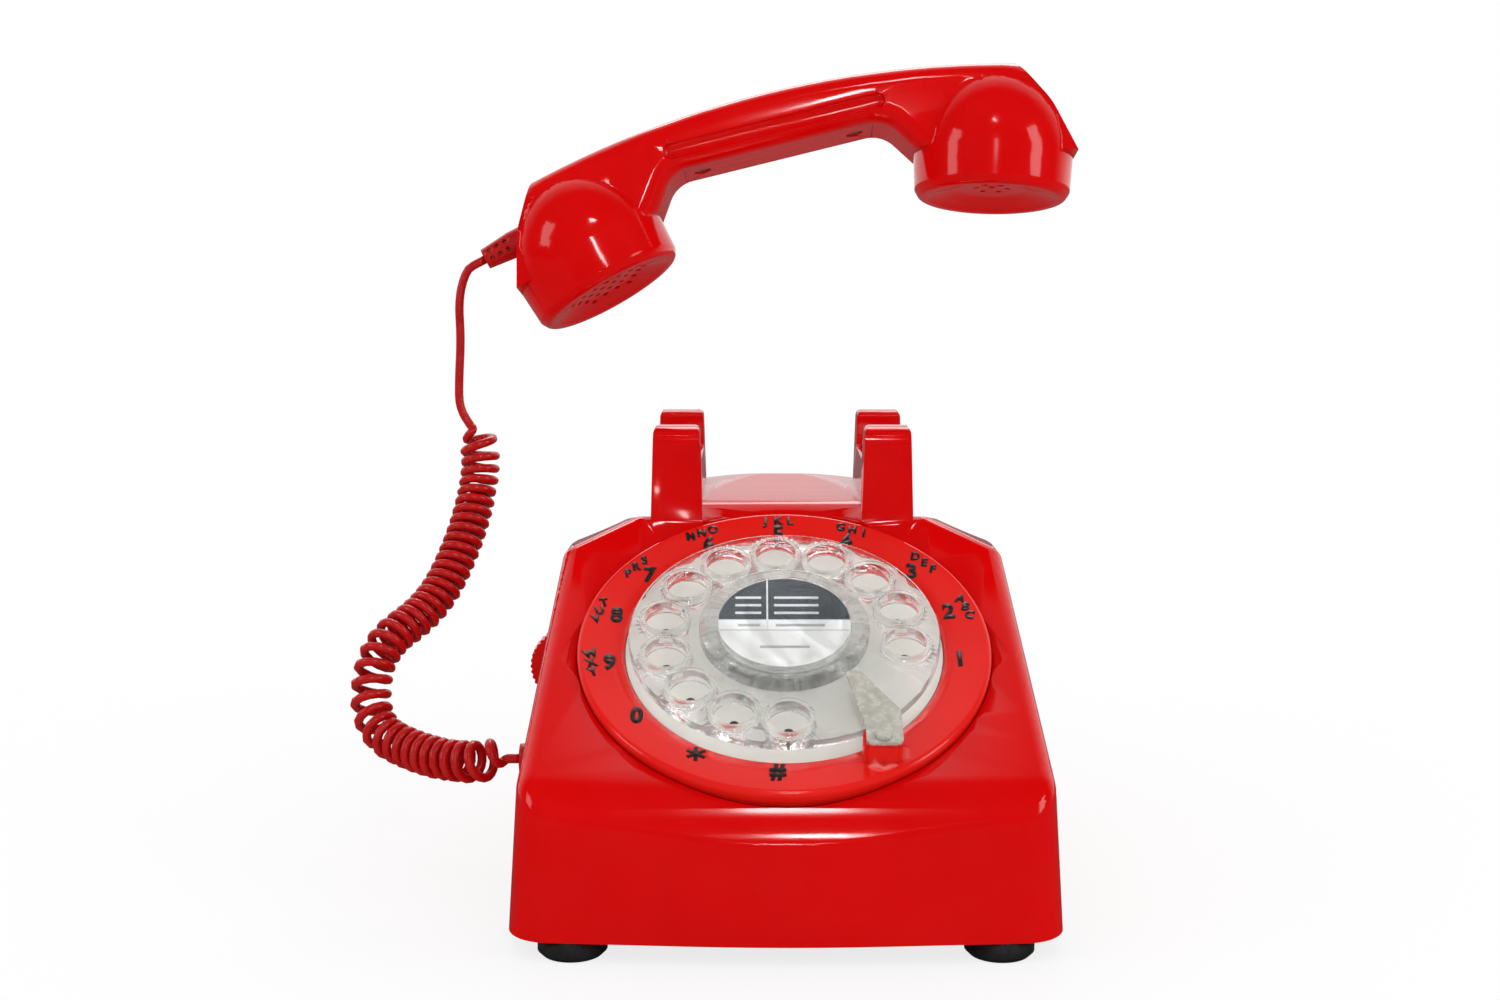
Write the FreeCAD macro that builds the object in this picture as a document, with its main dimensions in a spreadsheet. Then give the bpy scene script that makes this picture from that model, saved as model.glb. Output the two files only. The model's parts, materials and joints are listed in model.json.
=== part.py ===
import FreeCAD, Part
import math
import os
import Sketcher
from FreeCAD import Placement, Rotation, Vector

os.makedirs("parts", exist_ok=True)
doc = FreeCAD.newDocument("telephone")
sheet = doc.addObject("Spreadsheet::Sheet", "Dims")
nodes = {}
used = [0]


class Size:
    """A length with its value and the sheet expression it comes from."""

    def __init__(self, v, t):
        self.v = v
        self.t = t

    def __add__(self, o):
        o = size(o)
        return Size(self.v + o.v, "(%s + %s)" % (self.t, o.t))

    def __sub__(self, o):
        o = size(o)
        return Size(self.v - o.v, "(%s - %s)" % (self.t, o.t))

    def __mul__(self, o):
        o = size(o)
        return Size(self.v * o.v, "(%s * %s)" % (self.t, o.t))

    def __truediv__(self, o):
        o = size(o)
        return Size(self.v / o.v, "(%s / %s)" % (self.t, o.t))

    def __neg__(self):
        return Size(-self.v, "(0 - %s)" % self.t)

    def __radd__(self, o):
        return size(o) + self

    def __rsub__(self, o):
        return size(o) - self

    def __rmul__(self, o):
        return size(o) * self


def size(x):
    if isinstance(x, Size):
        return x
    return Size(float(x), repr(float(x)))


def dim(name, value):
    used[0] += 1
    cell = "A%d" % used[0]
    sheet.set(cell, str(value))
    sheet.setAlias(cell, name)
    return Size(float(value), "Dims." + name)


def sine(a):
    return Size(math.sin(math.radians(a.v)), "sin(%s)" % a.t)


def cosine(a):
    return Size(math.cos(math.radians(a.v)), "cos(%s)" % a.t)


def tangent(a):
    return Size(math.tan(math.radians(a.v)), "tan(%s)" % a.t)


def bind(o, prop, s):
    s = size(s)
    o.setExpression(prop, s.t)


def put(o, x=0, y=0, z=0, axis=None, angle=0):
    """Place an object at x, y, z, turned by angle about axis."""
    x, y, z, angle = size(x), size(y), size(z), size(angle)
    turn = Rotation() if axis is None else Rotation(Vector(*axis), angle.v)
    o.Placement = Placement(Vector(x.v, y.v, z.v), turn)
    bind(o, "Placement.Base.x", x)
    bind(o, "Placement.Base.y", y)
    bind(o, "Placement.Base.z", z)
    if axis is not None:
        bind(o, "Placement.Rotation.Angle", angle)
    return o


def cyl(name, r, h, x=0, y=0, z=0, axis=None, angle=0):
    o = doc.addObject("Part::Cylinder", name)
    bind(o, "Radius", r)
    bind(o, "Height", h)
    return put(o, x, y, z, axis, angle)


def cone(name, r1, r2, h, x=0, y=0, z=0, axis=None, angle=0):
    o = doc.addObject("Part::Cone", name)
    bind(o, "Radius1", r1)
    bind(o, "Radius2", r2)
    bind(o, "Height", h)
    return put(o, x, y, z, axis, angle)


def box(name, x0, x1, y0, y1, z0, z1, axis=None, angle=0):
    o = doc.addObject("Part::Box", name)
    bind(o, "Length", size(x1) - x0)
    bind(o, "Width", size(y1) - y0)
    bind(o, "Height", size(z1) - z0)
    return put(o, x0, y0, z0, axis, angle)


def fuse(name, *parts):
    o = doc.addObject("Part::MultiFuse", name)
    o.Shapes = list(parts)
    o.Refine = True
    return o


def common(name, *parts):
    o = doc.addObject("Part::MultiCommon", name)
    o.Shapes = list(parts)
    return o


def cut(name, base, *tools):
    tool = tools[0] if len(tools) == 1 else fuse(name + "_tools", *tools)
    o = doc.addObject("Part::Cut", name)
    o.Base = base
    o.Tool = tool
    return o


def group(name, *parts):
    o = doc.addObject("Part::Compound", name)
    o.Links = list(parts)
    return o


def plain(name, shape):
    o = doc.addObject("Part::Feature", name)
    o.Shape = shape
    return o


def outline(body, name, plane, pts):
    """A closed polygon sketch whose corners follow the sheet."""
    sk = body.newObject("Sketcher::SketchObject", name + "_sketch")
    base = [f for f in body.Origin.OriginFeatures if f.Role == plane][0]
    sk.AttachmentSupport = (base, [""])
    sk.MapMode = "FlatFace"
    n = len(pts)
    for i in range(n):
        a = pts[i]
        b = pts[(i + 1) % n]
        sk.addGeometry(Part.LineSegment(Vector(a[0].v, a[1].v, 0), Vector(b[0].v, b[1].v, 0)))
    for i in range(n):
        sk.addConstraint(Sketcher.Constraint("Coincident", i, 2, (i + 1) % n, 1))
    for i in range(n):
        for kind, s, line in (("DistanceX", pts[i][0], -2), ("DistanceY", pts[i][1], -1)):
            if abs(s.v) < 1e-9:
                sk.addConstraint(Sketcher.Constraint("PointOnObject", i, 1, line))
            elif s.v > 0:
                k = sk.addConstraint(Sketcher.Constraint(kind, -1, 1, i, 1, s.v))
                sk.setExpression("Constraints[%d]" % k, s.t)
            else:
                k = sk.addConstraint(Sketcher.Constraint(kind, i, 1, -1, 1, -s.v))
                sk.setExpression("Constraints[%d]" % k, (-s).t)
    return sk


def soften(body, tip, picks):
    """Round edges of a body: picks holds (test, radius) pairs."""
    count = 0
    for test, radius in picks:
        doc.recompute()
        names = ["Edge%d" % (i + 1) for i, e in enumerate(tip.Shape.Edges) if test(e)]
        if not names:
            raise RuntimeError("no edge to round on " + body.Name)
        count += 1
        f = body.newObject("PartDesign::Fillet", "%s_round%d" % (body.Name, count))
        f.Base = (tip, names)
        f.setExpression("Radius", radius.t)
        body.Tip = f
        tip = f
    doc.recompute()
    return tip


def prism(name, plane, pts, length, rounds=(), mid=True, taper=None):
    """A padded polygon; rounds holds (corner numbers, radius)."""
    pts = [(size(x), size(y)) for x, y in pts]
    body = doc.addObject("PartDesign::Body", name)
    sk = outline(body, name, plane, pts)
    pad = body.newObject("PartDesign::Pad", name + "_pad")
    pad.Profile = sk
    if mid:
        pad.Midplane = True
    if taper is not None:
        pad.setExpression("TaperAngle", taper.t)
    pad.setExpression("Length", size(length).t)
    body.Tip = pad
    spot = {"XY_Plane": lambda p: (p.x, p.y), "XZ_Plane": lambda p: (p.x, p.z),
            "YZ_Plane": lambda p: (p.y, p.z)}
    deep = {"XY_Plane": lambda p: p.z, "XZ_Plane": lambda p: p.y, "YZ_Plane": lambda p: p.x}

    def along(corners):
        def test(e):
            ends = [v.Point for v in e.Vertexes]
            if len(ends) != 2 or abs(deep[plane](ends[0]) - deep[plane](ends[1])) < 1:
                return False
            for c in corners:
                for p in ends:
                    x, y = spot[plane](p)
                    if abs(x - pts[c][0].v) < 0.02 and abs(y - pts[c][1].v) < 0.02:
                        return True
            return False
        return test

    soften(body, pad, [(along(c), size(r)) for c, r in rounds])
    return body


def lathe(name, pts, rounds=()):
    """A polygon of (radius, height) turned about the vertical axis."""
    pts = [(size(x), size(y)) for x, y in pts]
    body = doc.addObject("PartDesign::Body", name)
    sk = outline(body, name, "XZ_Plane", pts)
    rev = body.newObject("PartDesign::Revolution", name + "_turn")
    rev.Profile = sk
    rev.ReferenceAxis = (sk, ["V_Axis"])
    rev.Angle = 360
    body.Tip = rev

    def ring(corners):
        def test(e):
            if not isinstance(e.Curve, Part.Circle):
                return False
            for c in corners:
                if abs(e.Curve.Radius - pts[c][0].v) < 0.01 and abs(e.Curve.Center.z - pts[c][1].v) < 0.01:
                    return True
            return False
        return test

    soften(body, rev, [(ring(c), size(r)) for c, r in rounds])
    return body


def node(name, o):
    """A finished piece, moved so that the origin lies under the middle of the whole."""
    o.Label = name
    place = [text for path, text in o.ExpressionEngine if path.endswith("Placement.Base.x")]
    text = place[0] if place else repr(o.Placement.Base.x)
    bind(o, "Placement.Base.x", Size(0, "(%s + %s)" % (text, frame_x.t)))
    nodes[name] = o
    return o


# Overall sizes of the base, all in millimetres.
frame_x = dim("frame_shift_x", 2.8)
half = dim("base_half_width", 92.2)
rear_half = dim("rear_half_width", 84.5)
front = dim("base_front", 107.5)
rear = dim("base_rear", 107.5)
bow = dim("front_bow", 6.0)
foot_h = dim("foot_height", 7.0)
wall = dim("wall", 3.2)
roof_wall = dim("roof_wall", 4.0)
draft = dim("wall_draft", 3.4)
tall = dim("shell_height", 150.0)
corner = dim("corner_round", 15.0)
rear_corner = dim("rear_corner_round", 22.0)
bow_round = dim("bow_round", 480.0)
free = dim("free_gap", 0.3)
fit = dim("running_fit", 0.06)
over = dim("cut_overrun", 12.0)

# Sloped dial face and the number ring that stands on it.
dial_y = dim("dial_centre_y", -37.7)
dial_z = dim("dial_centre_z", 92.1)
tilt = dim("dial_tilt", 29.7)
face_tilt = dim("face_tilt", 30.9)
face_drop = dim("face_drop", 3.2)
nose_y = dim("nose_y", 101.0)
nose_z = dim("nose_z", 30.0)
nose_over = dim("nose_overrun", 3.0)
ridge_y = dim("ridge_y", 25.0)
rear_top_y = dim("rear_top_y", 96.0)
rear_top_z = dim("rear_top_z", 107.0)
rear_low_z = dim("rear_low_z", 66.0)
shoulder_x = dim("shoulder_x", 49.0)
shoulder_z = dim("shoulder_z", 128.0)
shoulder_slope = dim("shoulder_slope", 0.39)
crown_z = dim("crown_z", 132.0)
face_round = dim("face_round", 40.0)
ridge_round = dim("ridge_round", 5.0)
rear_round = dim("rear_round", 20.0)
shoulder_round = dim("shoulder_round", 25.0)
crown_round = dim("crown_round", 140.0)
edge_round = dim("edge_round", 6.0)

# Cradle on the bridge.
cradle_y = dim("cradle_y", 59.2)
saddle_half = dim("saddle_half_width", 23.2)
horn_thick = dim("horn_thickness", 13.1)
horn_top = dim("horn_top", 160.0)
saddle_z = dim("saddle_z", 146.0)
horn_out = dim("horn_outer_top", 48.2)
horn_out_low = dim("horn_outer_foot", 49.6)
horn_in = dim("horn_inner_top", 31.0)
horn_in_low = dim("horn_inner_foot", 29.6)
horn_foot = dim("horn_foot_z", 116.0)
horn_round = dim("horn_round", 6.0)
horn_edge = dim("horn_edge_round", 2.5)
saddle_round = dim("saddle_round", 5.0)
web_out = dim("web_outer", 40.5)
room_z = dim("lift_room_floor", 112.0)
bridge_half = dim("bridge_half_width", 46.0)
bridge_z = dim("bridge_top", 133.0)
bridge_round = dim("bridge_round", 200.0)
plunger_x = dim("plunger_x", 35.5)
plunger_r = dim("plunger_radius", 3.5)
plunger_rise = dim("plunger_rise", 6.0)
bar_top = dim("hook_bar_top", 108.0)
bar_t = dim("hook_bar_thickness", 4.0)
bar_half = dim("hook_bar_half_length", 39.0)
bar_w = dim("hook_bar_width", 6.0)

# Handset sizes in its own frame: u along the handle, w up to the spine.
cap_r = dim("cap_radius", 30.4)
cap_h = dim("cap_height", 16.0)
cap_u = dim("cap_face_u", 74.75)
cap_w = dim("cap_face_w", -25.25)
cant = dim("cap_cant", 16.0)
spine_w = dim("spine_control_w", 44.2)
spine_r = dim("spine_radius", 370.0)
tip_u = dim("tip_u", 94.0)
tip_w = dim("tip_w", 20.8)
end_u = dim("end_u", 103.5)
end_w = dim("end_w", 2.5)
under_w = dim("handle_underside_w", 12.2)
under_u = dim("handle_underside_half", 41.0)
under_r = dim("handle_neck_round", 12.0)
handle_w = dim("handle_width", 36.0)
handle_r = dim("handle_edge_round", 7.0)
flute_r = dim("handle_flute_radius", 3.2)
flute_u = dim("handle_flute_half_length", 40.0)
flute_w = dim("handle_flute_rise", 6.0)
dome_h = dim("dome_height", 33.7)
cup_r = dim("cup_bore_radius", 21.0)
cup_d = dim("cup_bore_depth", 11.0)
seat_gap = dim("seat_gap", 1.91)
boot_u = dim("boot_exit_u", -119.3)
boot_w = dim("boot_exit_w", -0.8)
boot_len = dim("boot_length", 18.0)
boot_dip = dim("boot_dip", 14.0)
boot_r = dim("boot_root_radius", 5.2)
boot_tip = dim("boot_tip_radius", 4.0)
wire_d = dim("cord_wire_diameter", 3.3)
lift_x = dim("lift_x", 5.4)
lift_y = dim("lift_y", -3.0)
lift_z = dim("lift_z", 86.5)
turn = dim("handset_turn", 18.8)
turn_dir = dim("handset_turn_bearing", 227.3)

# Dial pieces, heights measured from the ring plane along the dial axis.
ring_r = dim("ring_radius", 72.1)
ring_in = dim("ring_inner_radius", 55.6)
ring_low = dim("ring_seat", 7.0)
plate_low = dim("dial_plate_level", 3.6)
frame_top = dim("dial_frame_top", 11.0)
frame_t = dim("dial_frame_thickness", 2.0)
frame_r = dim("dial_frame_radius", 71.0)
open_r = dim("dial_opening_radius", 64.0)
boss_r = dim("dial_boss_radius", 78.0)
wheel_r = dim("wheel_radius", 54.1)
wheel_low = dim("wheel_underside", 1.6)
wheel_t = dim("wheel_thickness", 2.6)
hole_r = dim("finger_hole_radius", 7.25)
collar_r = dim("finger_collar_radius", 8.9)
hole_ring = dim("finger_hole_circle", 42.2)
hole_first = dim("first_hole_angle", -8.0)
hole_step = dim("hole_step", 25.4)
collar_up = dim("collar_rise", 1.0)
collar_down = dim("collar_drop", 1.4)
shaft_r = dim("shaft_radius", 4.0)
stem_r = dim("stem_radius", 2.5)
button_r = dim("button_radius", 22.9)
button_low = dim("button_underside", 6.2)
button_t = dim("button_thickness", 2.5)
card_t = dim("card_thickness", 0.3)
lens_t = dim("lens_thickness", 0.7)
bezel_r = dim("bezel_radius", 29.5)
bezel_top = dim("bezel_top", 9.8)
module = dim("gear_module", 1.5)
gear_teeth = dim("gear_teeth", 40)
pinion_teeth = dim("pinion_teeth", 12)
gear_low = dim("gear_underside", 28.0)
gear_t = dim("gear_thickness", 3.0)
backlash = dim("gear_backlash", 0.4)
pin_r = dim("pin_radius", 1.5)

# Smaller fittings.
plate_t = dim("base_plate_thickness", 2.0)
plate_gap = dim("base_plate_gap", 0.9)
foot_r = dim("foot_radius", 11.5)
foot_x = dim("front_foot_x", 70.0)
foot_y = dim("front_foot_y", -91.0)
back_foot_x = dim("rear_foot_x", 66.0)
back_foot_y = dim("rear_foot_y", 88.0)
stud_r = dim("foot_stud_radius", 4.0)
post_x = dim("front_post_x", 82.3)
post_y = dim("front_post_y", -72.0)
back_post_x = dim("rear_post_x", 76.9)
back_post_y = dim("rear_post_y", 70.0)
post_r = dim("post_radius", 6.0)
post_h = dim("post_height", 26.0)
screw_r = dim("screw_radius", 1.7)
head_r = dim("screw_head_radius", 3.4)
head_t = dim("screw_head_height", 1.6)
vol_r = dim("volume_wheel_radius", 13.5)
vol_x = dim("volume_wheel_x", -77.8)
vol_y = dim("volume_wheel_y", -10.0)
vol_z = dim("volume_wheel_z", 77.5)
vol_t = dim("volume_wheel_thickness", 7.0)
vol_axle = dim("volume_axle_radius", 2.0)
jack_y = dim("handset_jack_y", -48.0)
jack_z = dim("handset_jack_z", 53.0)
jack_half = dim("handset_jack_half", 6.0)
jack_x = dim("handset_jack_face_x", -86.3)
plug_len = dim("cord_plug_length", 5.0)
plug_r = dim("cord_plug_radius", 5.4)
plug_tip = dim("cord_plug_tip_radius", 5.2)
board_z = dim("board_z", 24.0)
board_t = dim("board_thickness", 1.6)
board_x0 = dim("board_left", -67.0)
board_x1 = dim("board_right", 6.0)
board_y0 = dim("board_front", 30.0)
board_y1 = dim("board_back", 96.0)
horn_r = dim("loudspeaker_radius", 27.0)
spk_x = dim("loudspeaker_x", 38.0)
spk_y = dim("loudspeaker_y", -45.0)
line_x0 = dim("line_socket_left", -46.0)
line_w = dim("line_socket_width", 16.0)
line_h = dim("line_socket_height", 13.0)
line_y = dim("line_socket_back", 101.8)
frame_screw_r = dim("dial_screw_circle", 67.5)
frame_screw = dim("dial_screw_radius", 1.4)
slot_w = dim("sound_slot_width", 3.0)
block_x0 = dim("stop_block_left", 25.0)
block_x1 = dim("stop_block_right", 38.0)
block_y0 = dim("stop_block_front", -58.0)
block_y1 = dim("stop_block_back", -49.8)
block_z = dim("stop_block_top", 6.6)
stem_end = dim("stem_end", 33.0)
spring_t = dim("button_spring_radius", 0.97)
shaft_end = dim("shaft_end", 30.0)
bush_r = dim("bush_radius", 7.0)
bush_end = dim("bush_end", 20.0)
spring_out = dim("return_spring_outer", 16.6)
spring_thick = dim("return_spring_thickness", 0.6)
bridge_low = dim("switch_bridge_underside", 40.0)
press = dim("button_travel", 1.5)
stop_t = dim("finger_stop_thickness", 1.3)
inset = dim("board_hole_inset", 5.0)
vol_ribs = dim("volume_wheel_ribs", 40)
grip_u = dim("grip_half_length", 37.0)
grip_y = dim("grip_half_width", 10.5)
grip_t = dim("grip_thickness", 4.0)
grip_screw_u = dim("grip_screw_u", 30.0)
weight_u = dim("weight_half_length", 21.0)
weight_y = dim("weight_half_width", 8.5)
weight_h = dim("weight_height", 9.0)
cap_in = dim("cap_inner_radius", 27.6)
cap_floor = dim("cap_floor", 6.5)
pitch_hole = dim("mouth_hole_pitch", 5.2)
curl_r = dim("curl_radius", 5.9)
curl_pitch = dim("curl_pitch", 4.3)
bend_extra = dim("curl_pitch_bend_extra", 2.0)
begin_extra = dim("curl_pitch_start_extra", 4.0)
end_extra = dim("curl_pitch_end_extra", 1.2)
curl_ramp = dim("curl_ramp", 7.0)
doc.recompute()

sa = sine(tilt)
ca = cosine(tilt)
plate_top = foot_h + plate_t


def on_dial(o, x=0, y=0, z=0):
    """Seat an object on the dial axis frame."""
    x, y, z = size(x), size(y), size(z)
    return put(o, x, dial_y + y * ca - z * sa, dial_z + y * sa + z * ca, (1, 0, 0), tilt)


def face_at(y):
    return dial_z - face_drop + (size(y) - dial_y) * tangent(face_tilt)


# Housing: plan, side and shoulder prisms meet in one solid, then a smaller set hollows it.
def shell(name, inset, drop, base_z):
    h = half - inset
    hr = rear_half - inset
    plan = prism(name + "_plan", "XY_Plane",
                 [(-h, bow + inset - front), (0, inset - front), (h, bow + inset - front),
                  (hr, rear - inset), (-hr, rear - inset)], tall,
                 [((0, 2), corner - inset), ((3, 4), rear_corner - inset), ((1,), bow_round)],
                 mid=False, taper=-draft)
    nose = nose_y - inset
    brow = face_at(-nose) - drop
    chin = inset - front - nose_over
    low = nose_z - drop - nose_over * (face_at(-nose) - nose_z) / (front - nose_y)
    side = prism(name + "_side", "YZ_Plane",
                 [(chin, base_z), (chin, low), (-nose, brow),
                  (ridge_y, face_at(ridge_y) - drop), (rear_top_y - inset, rear_top_z - drop),
                  (rear + over - inset, rear_low_z - drop), (rear + over - inset, base_z)],
                 half * 2 + over * 2, [((2,), face_round), ((3,), ridge_round), ((4,), rear_round)])
    edge = half + over * 2
    az = shoulder_z - drop - (edge - shoulder_x) * shoulder_slope
    roof = prism(name + "_roof", "XZ_Plane",
                 [(-edge, 0), (-edge, az), (-shoulder_x, shoulder_z - drop), (0, crown_z - drop),
                  (shoulder_x, shoulder_z - drop), (edge, az), (edge, 0)],
                 front * 2 + over * 4, [((2, 4), shoulder_round), ((3,), crown_round)])
    return common(name, plan, side, roof)


outer = shell("shell_outer", size(0), size(0), foot_h)
inner = shell("shell_inner", wall, roof_wall, foot_h - over / 2)
doc.recompute()


def sharp(shape, low):
    """Numbers of the edges above low where two faces meet at an angle."""
    out = []
    for i, e in enumerate(shape.Edges):
        if e.BoundBox.ZMax < low:
            continue
        faces = [f for f in shape.Faces if any(e.isSame(k) for k in f.Edges)]
        if len(faces) != 2:
            continue
        p = e.valueAt((e.FirstParameter + e.LastParameter) / 2)
        n = [f.normalAt(*f.Surface.parameter(p)) for f in faces]
        if math.degrees(n[0].getAngle(n[1])) > 14:
            out.append(i + 1)
    return out


rounded = doc.addObject("Part::Fillet", "shell_rounded")
rounded.Base = outer
rounded.Edges = [(k, edge_round.v, edge_round.v) for k in sharp(outer.Shape, foot_h.v + 5)]
doc.recompute()

bridge_long = prism("bridge_long", "YZ_Plane",
                    [(ridge_y - 4, 96), (ridge_y - 4, face_at(ridge_y - 4)), (ridge_y + 9, bridge_z - 2.5),
                     (rear_top_y + 2, bridge_z), (rear_top_y + 7, 118), (rear_top_y + 7, 96)],
                    bridge_half * 2, [((2,), size(14)), ((3,), size(4))])
bridge_peak = bridge_z + bridge_round * 0.0198
bridge_crown = prism("bridge_crown", "XZ_Plane",
                     [(-bridge_half, 96), (-bridge_half, bridge_peak - bridge_half * 0.2), (0, bridge_peak),
                      (bridge_half, bridge_peak - bridge_half * 0.2), (bridge_half, 96)],
                     front * 4, [((2,), bridge_round)])
bridge = common("bridge", bridge_long, bridge_crown)


def horns(name, s):
    flank = prism(name + "_flank", "XZ_Plane",
                  [(horn_out_low * s, horn_foot), (horn_out * s, horn_top), (horn_in * s, horn_top),
                   (horn_in_low * s, horn_foot)], cradle_y * 4, [((1, 2), horn_edge)])
    a = cradle_y - saddle_half - horn_thick
    b = cradle_y - saddle_half
    c = cradle_y + saddle_half
    d = cradle_y + saddle_half + horn_thick
    saddle = prism(name + "_saddle", "YZ_Plane",
                   [(a, horn_foot), (a, horn_top), (b, horn_top), (b, saddle_z), (c, saddle_z),
                    (c, horn_top),
                    (d, horn_top), (d, horn_foot)],
                   half * 2, [((1, 6), horn_round), ((3, 4), saddle_round), ((2, 5), horn_edge)])
    return common(name, flank, saddle)


right_horns = horns("right_horns", 1)
left_horns = horns("left_horns", -1)

# Room for the seated handset caps and for their way up past the horns.
sc = sine(cant)
cc = cosine(cant)
seat_z = saddle_z + seat_gap - under_w


def scoop(name, s, grow, deep):
    d = size(deep)
    return cyl(name, cap_r + grow, tall, (cap_u - d * sc) * s, cradle_y, seat_z + cap_w - d * cc,
               (0, 1, 0), cant * s)


def web_room(name, s, grow):
    x0 = web_out - grow if s > 0 else -web_out - over - grow
    x1 = x0 + over + size(grow) * 2
    block = prism(name + "_block", "XY_Plane",
                  [(x0, cradle_y - saddle_half - grow), (x1, cradle_y - saddle_half - grow),
                   (x1, cradle_y + saddle_half + grow), (x0, cradle_y + saddle_half + grow)],
                  tall * 2, [((0, 1, 2, 3), size(4))])
    return common(name, block, box(name + "_above", -tall, tall, 0, tall, room_z - grow, tall * 2))


lift_rooms = [web_room("web_room_right", 1, size(0)), web_room("web_room_left", -1, size(0))]
room_walls = [web_room("room_wall_right", 1, size(2.6)), web_room("room_wall_left", -1, size(2.6))]
scoops = [scoop("scoop_right", 1, 3.1, 2.5), scoop("scoop_left", -1, 3.1, 2.5)]
scoop_walls = [scoop("scoop_wall_right", 1, 6.1, 5.5), scoop("scoop_wall_left", -1, 6.1, 5.5)]

dial_boss = on_dial(cyl("dial_boss", boss_r, frame_top + over), z=-frame_top)
cavity = cut("cavity", inner, dial_boss, *scoop_walls, *room_walls)
dial_recess = on_dial(cyl("dial_recess", ring_r + free, over * 3), z=-ring_low)
dial_open = on_dial(cyl("dial_open", open_r, over * 3), z=-frame_top - over)
plunger_holes = [cyl("plunger_hole_r", plunger_r + fit, tall, plunger_x, cradle_y, 100),
                 cyl("plunger_hole_l", plunger_r + fit, tall, -plunger_x, cradle_y, 100)]
bridge_room = box("bridge_room", -27, 27, ridge_y + 9, rear_top_y - 2, 104, 124)
jack_port = box("jack_port", -half - over, jack_x + over, jack_y - jack_half - free,
                jack_y + jack_half + free,
                jack_z - jack_half - free, jack_z + jack_half + free)
line_port = box("line_port", line_x0 + 1, line_x0 + line_w - 1, line_y - 2, rear + over,
                board_z + board_t + 1, board_z + board_t + line_h - 1)
vol_slot = box("vol_slot", vol_x - over * 2, vol_x, vol_y - vol_t / 2 - 0.6, vol_y + vol_t / 2 + 0.6,
               vol_z - vol_r - 0.6, vol_z + vol_r + 0.6)
posts = []
post_holes = []
spots = [(post_x, post_y), (-post_x, post_y), (back_post_x, back_post_y), (-back_post_x, back_post_y)]
for i, (px, py) in enumerate(spots):
    posts.append(cyl("post%d" % i, post_r, post_h, px, py, plate_top))
    post_holes.append(cyl("post_hole%d" % i, screw_r + fit, post_h - 8, px, py, plate_top - 1))
frame_holes = []
frame_spots = []
for i in range(3):
    a = math.radians(30 + 120 * i)
    frame_spots.append((frame_screw_r * math.cos(a), frame_screw_r * math.sin(a)))
for i, (px, py) in enumerate(frame_spots):
    frame_holes.append(on_dial(cyl("frame_hole%d" % i, frame_screw + fit, 3), px, py, -frame_top - 0.2))
pot_rib = box("pot_rib", -half + 10, vol_x + 6, vol_y + 13, vol_y + 16, vol_z - 7, vol_z + 6)
solid = fuse("housing_solid", rounded, bridge, right_horns, left_horns)
hollow = cut("housing_hollow", solid, cavity, bridge_room, dial_recess, dial_open, *scoops, *lift_rooms,
             *plunger_holes, jack_port, line_port, vol_slot)
ribbed = fuse("housing_ribbed", hollow, pot_rib, *posts)
node("housing", cut("housing_body", ribbed, *post_holes, *frame_holes))

# Base plate, feet and the screws that hold the housing down.
plate = prism("plate_blank", "XY_Plane",
              [(-half + wall + plate_gap, bow + wall + plate_gap - front), (0, wall + plate_gap - front),
               (half - wall - plate_gap, bow + wall + plate_gap - front),
               (rear_half - wall - plate_gap, rear - wall - plate_gap),
               (-rear_half + wall + plate_gap, rear - wall - plate_gap)],
              plate_t, [((0, 2), corner - wall), ((3, 4), rear_corner - wall), ((1,), bow_round)],
              mid=False)
put(plate, 0, 0, foot_h)
plate_cuts = []
feet = [("foot_front_left", -foot_x, foot_y), ("foot_front_right", foot_x, foot_y),
        ("foot_rear_left", -back_foot_x, back_foot_y), ("foot_rear_right", back_foot_x, back_foot_y)]
for i, (px, py) in enumerate(spots):
    plate_cuts.append(cyl("plate_screw%d" % i, screw_r + 0.2, over, px, py, foot_h - 5))
for i, (name, px, py) in enumerate(feet):
    plate_cuts.append(cyl("plate_foot%d" % i, stud_r + fit, over, px, py, foot_h - 5))
for i in range(5):
    x = spk_x + (i - 2) * 7.0
    plate_cuts.append(box("sound_slot%d" % i, x - slot_w / 2, x + slot_w / 2, spk_y - 14, spk_y + 14,
                          foot_h - 2, plate_top + 2))
node("base_plate", cut("base_plate_body", plate, *plate_cuts))
for name, px, py in feet:
    f = lathe(name + "_body", [(0, 0), (foot_r - 1.5, 0), (foot_r, 1.5), (foot_r, foot_h), (stud_r, foot_h),
                               (stud_r, plate_top), (0, plate_top)])
    node(name, put(f, px, py, 0))


def screw(name, r, head, head_h, length):
    """A screw along +z from the underside of its head at z = 0."""
    return fuse(name, cyl(name + "_head", head, head_h, 0, 0, -size(head_h)),
                cyl(name + "_shank", r, length))


base_screws = []
for i, (px, py) in enumerate(spots):
    base_screws.append(put(screw("base_screw%d" % i, screw_r, head_r, head_t, post_h - 10), px, py, foot_h))
node("base_screws", group("base_screw_set", *base_screws))

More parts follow.
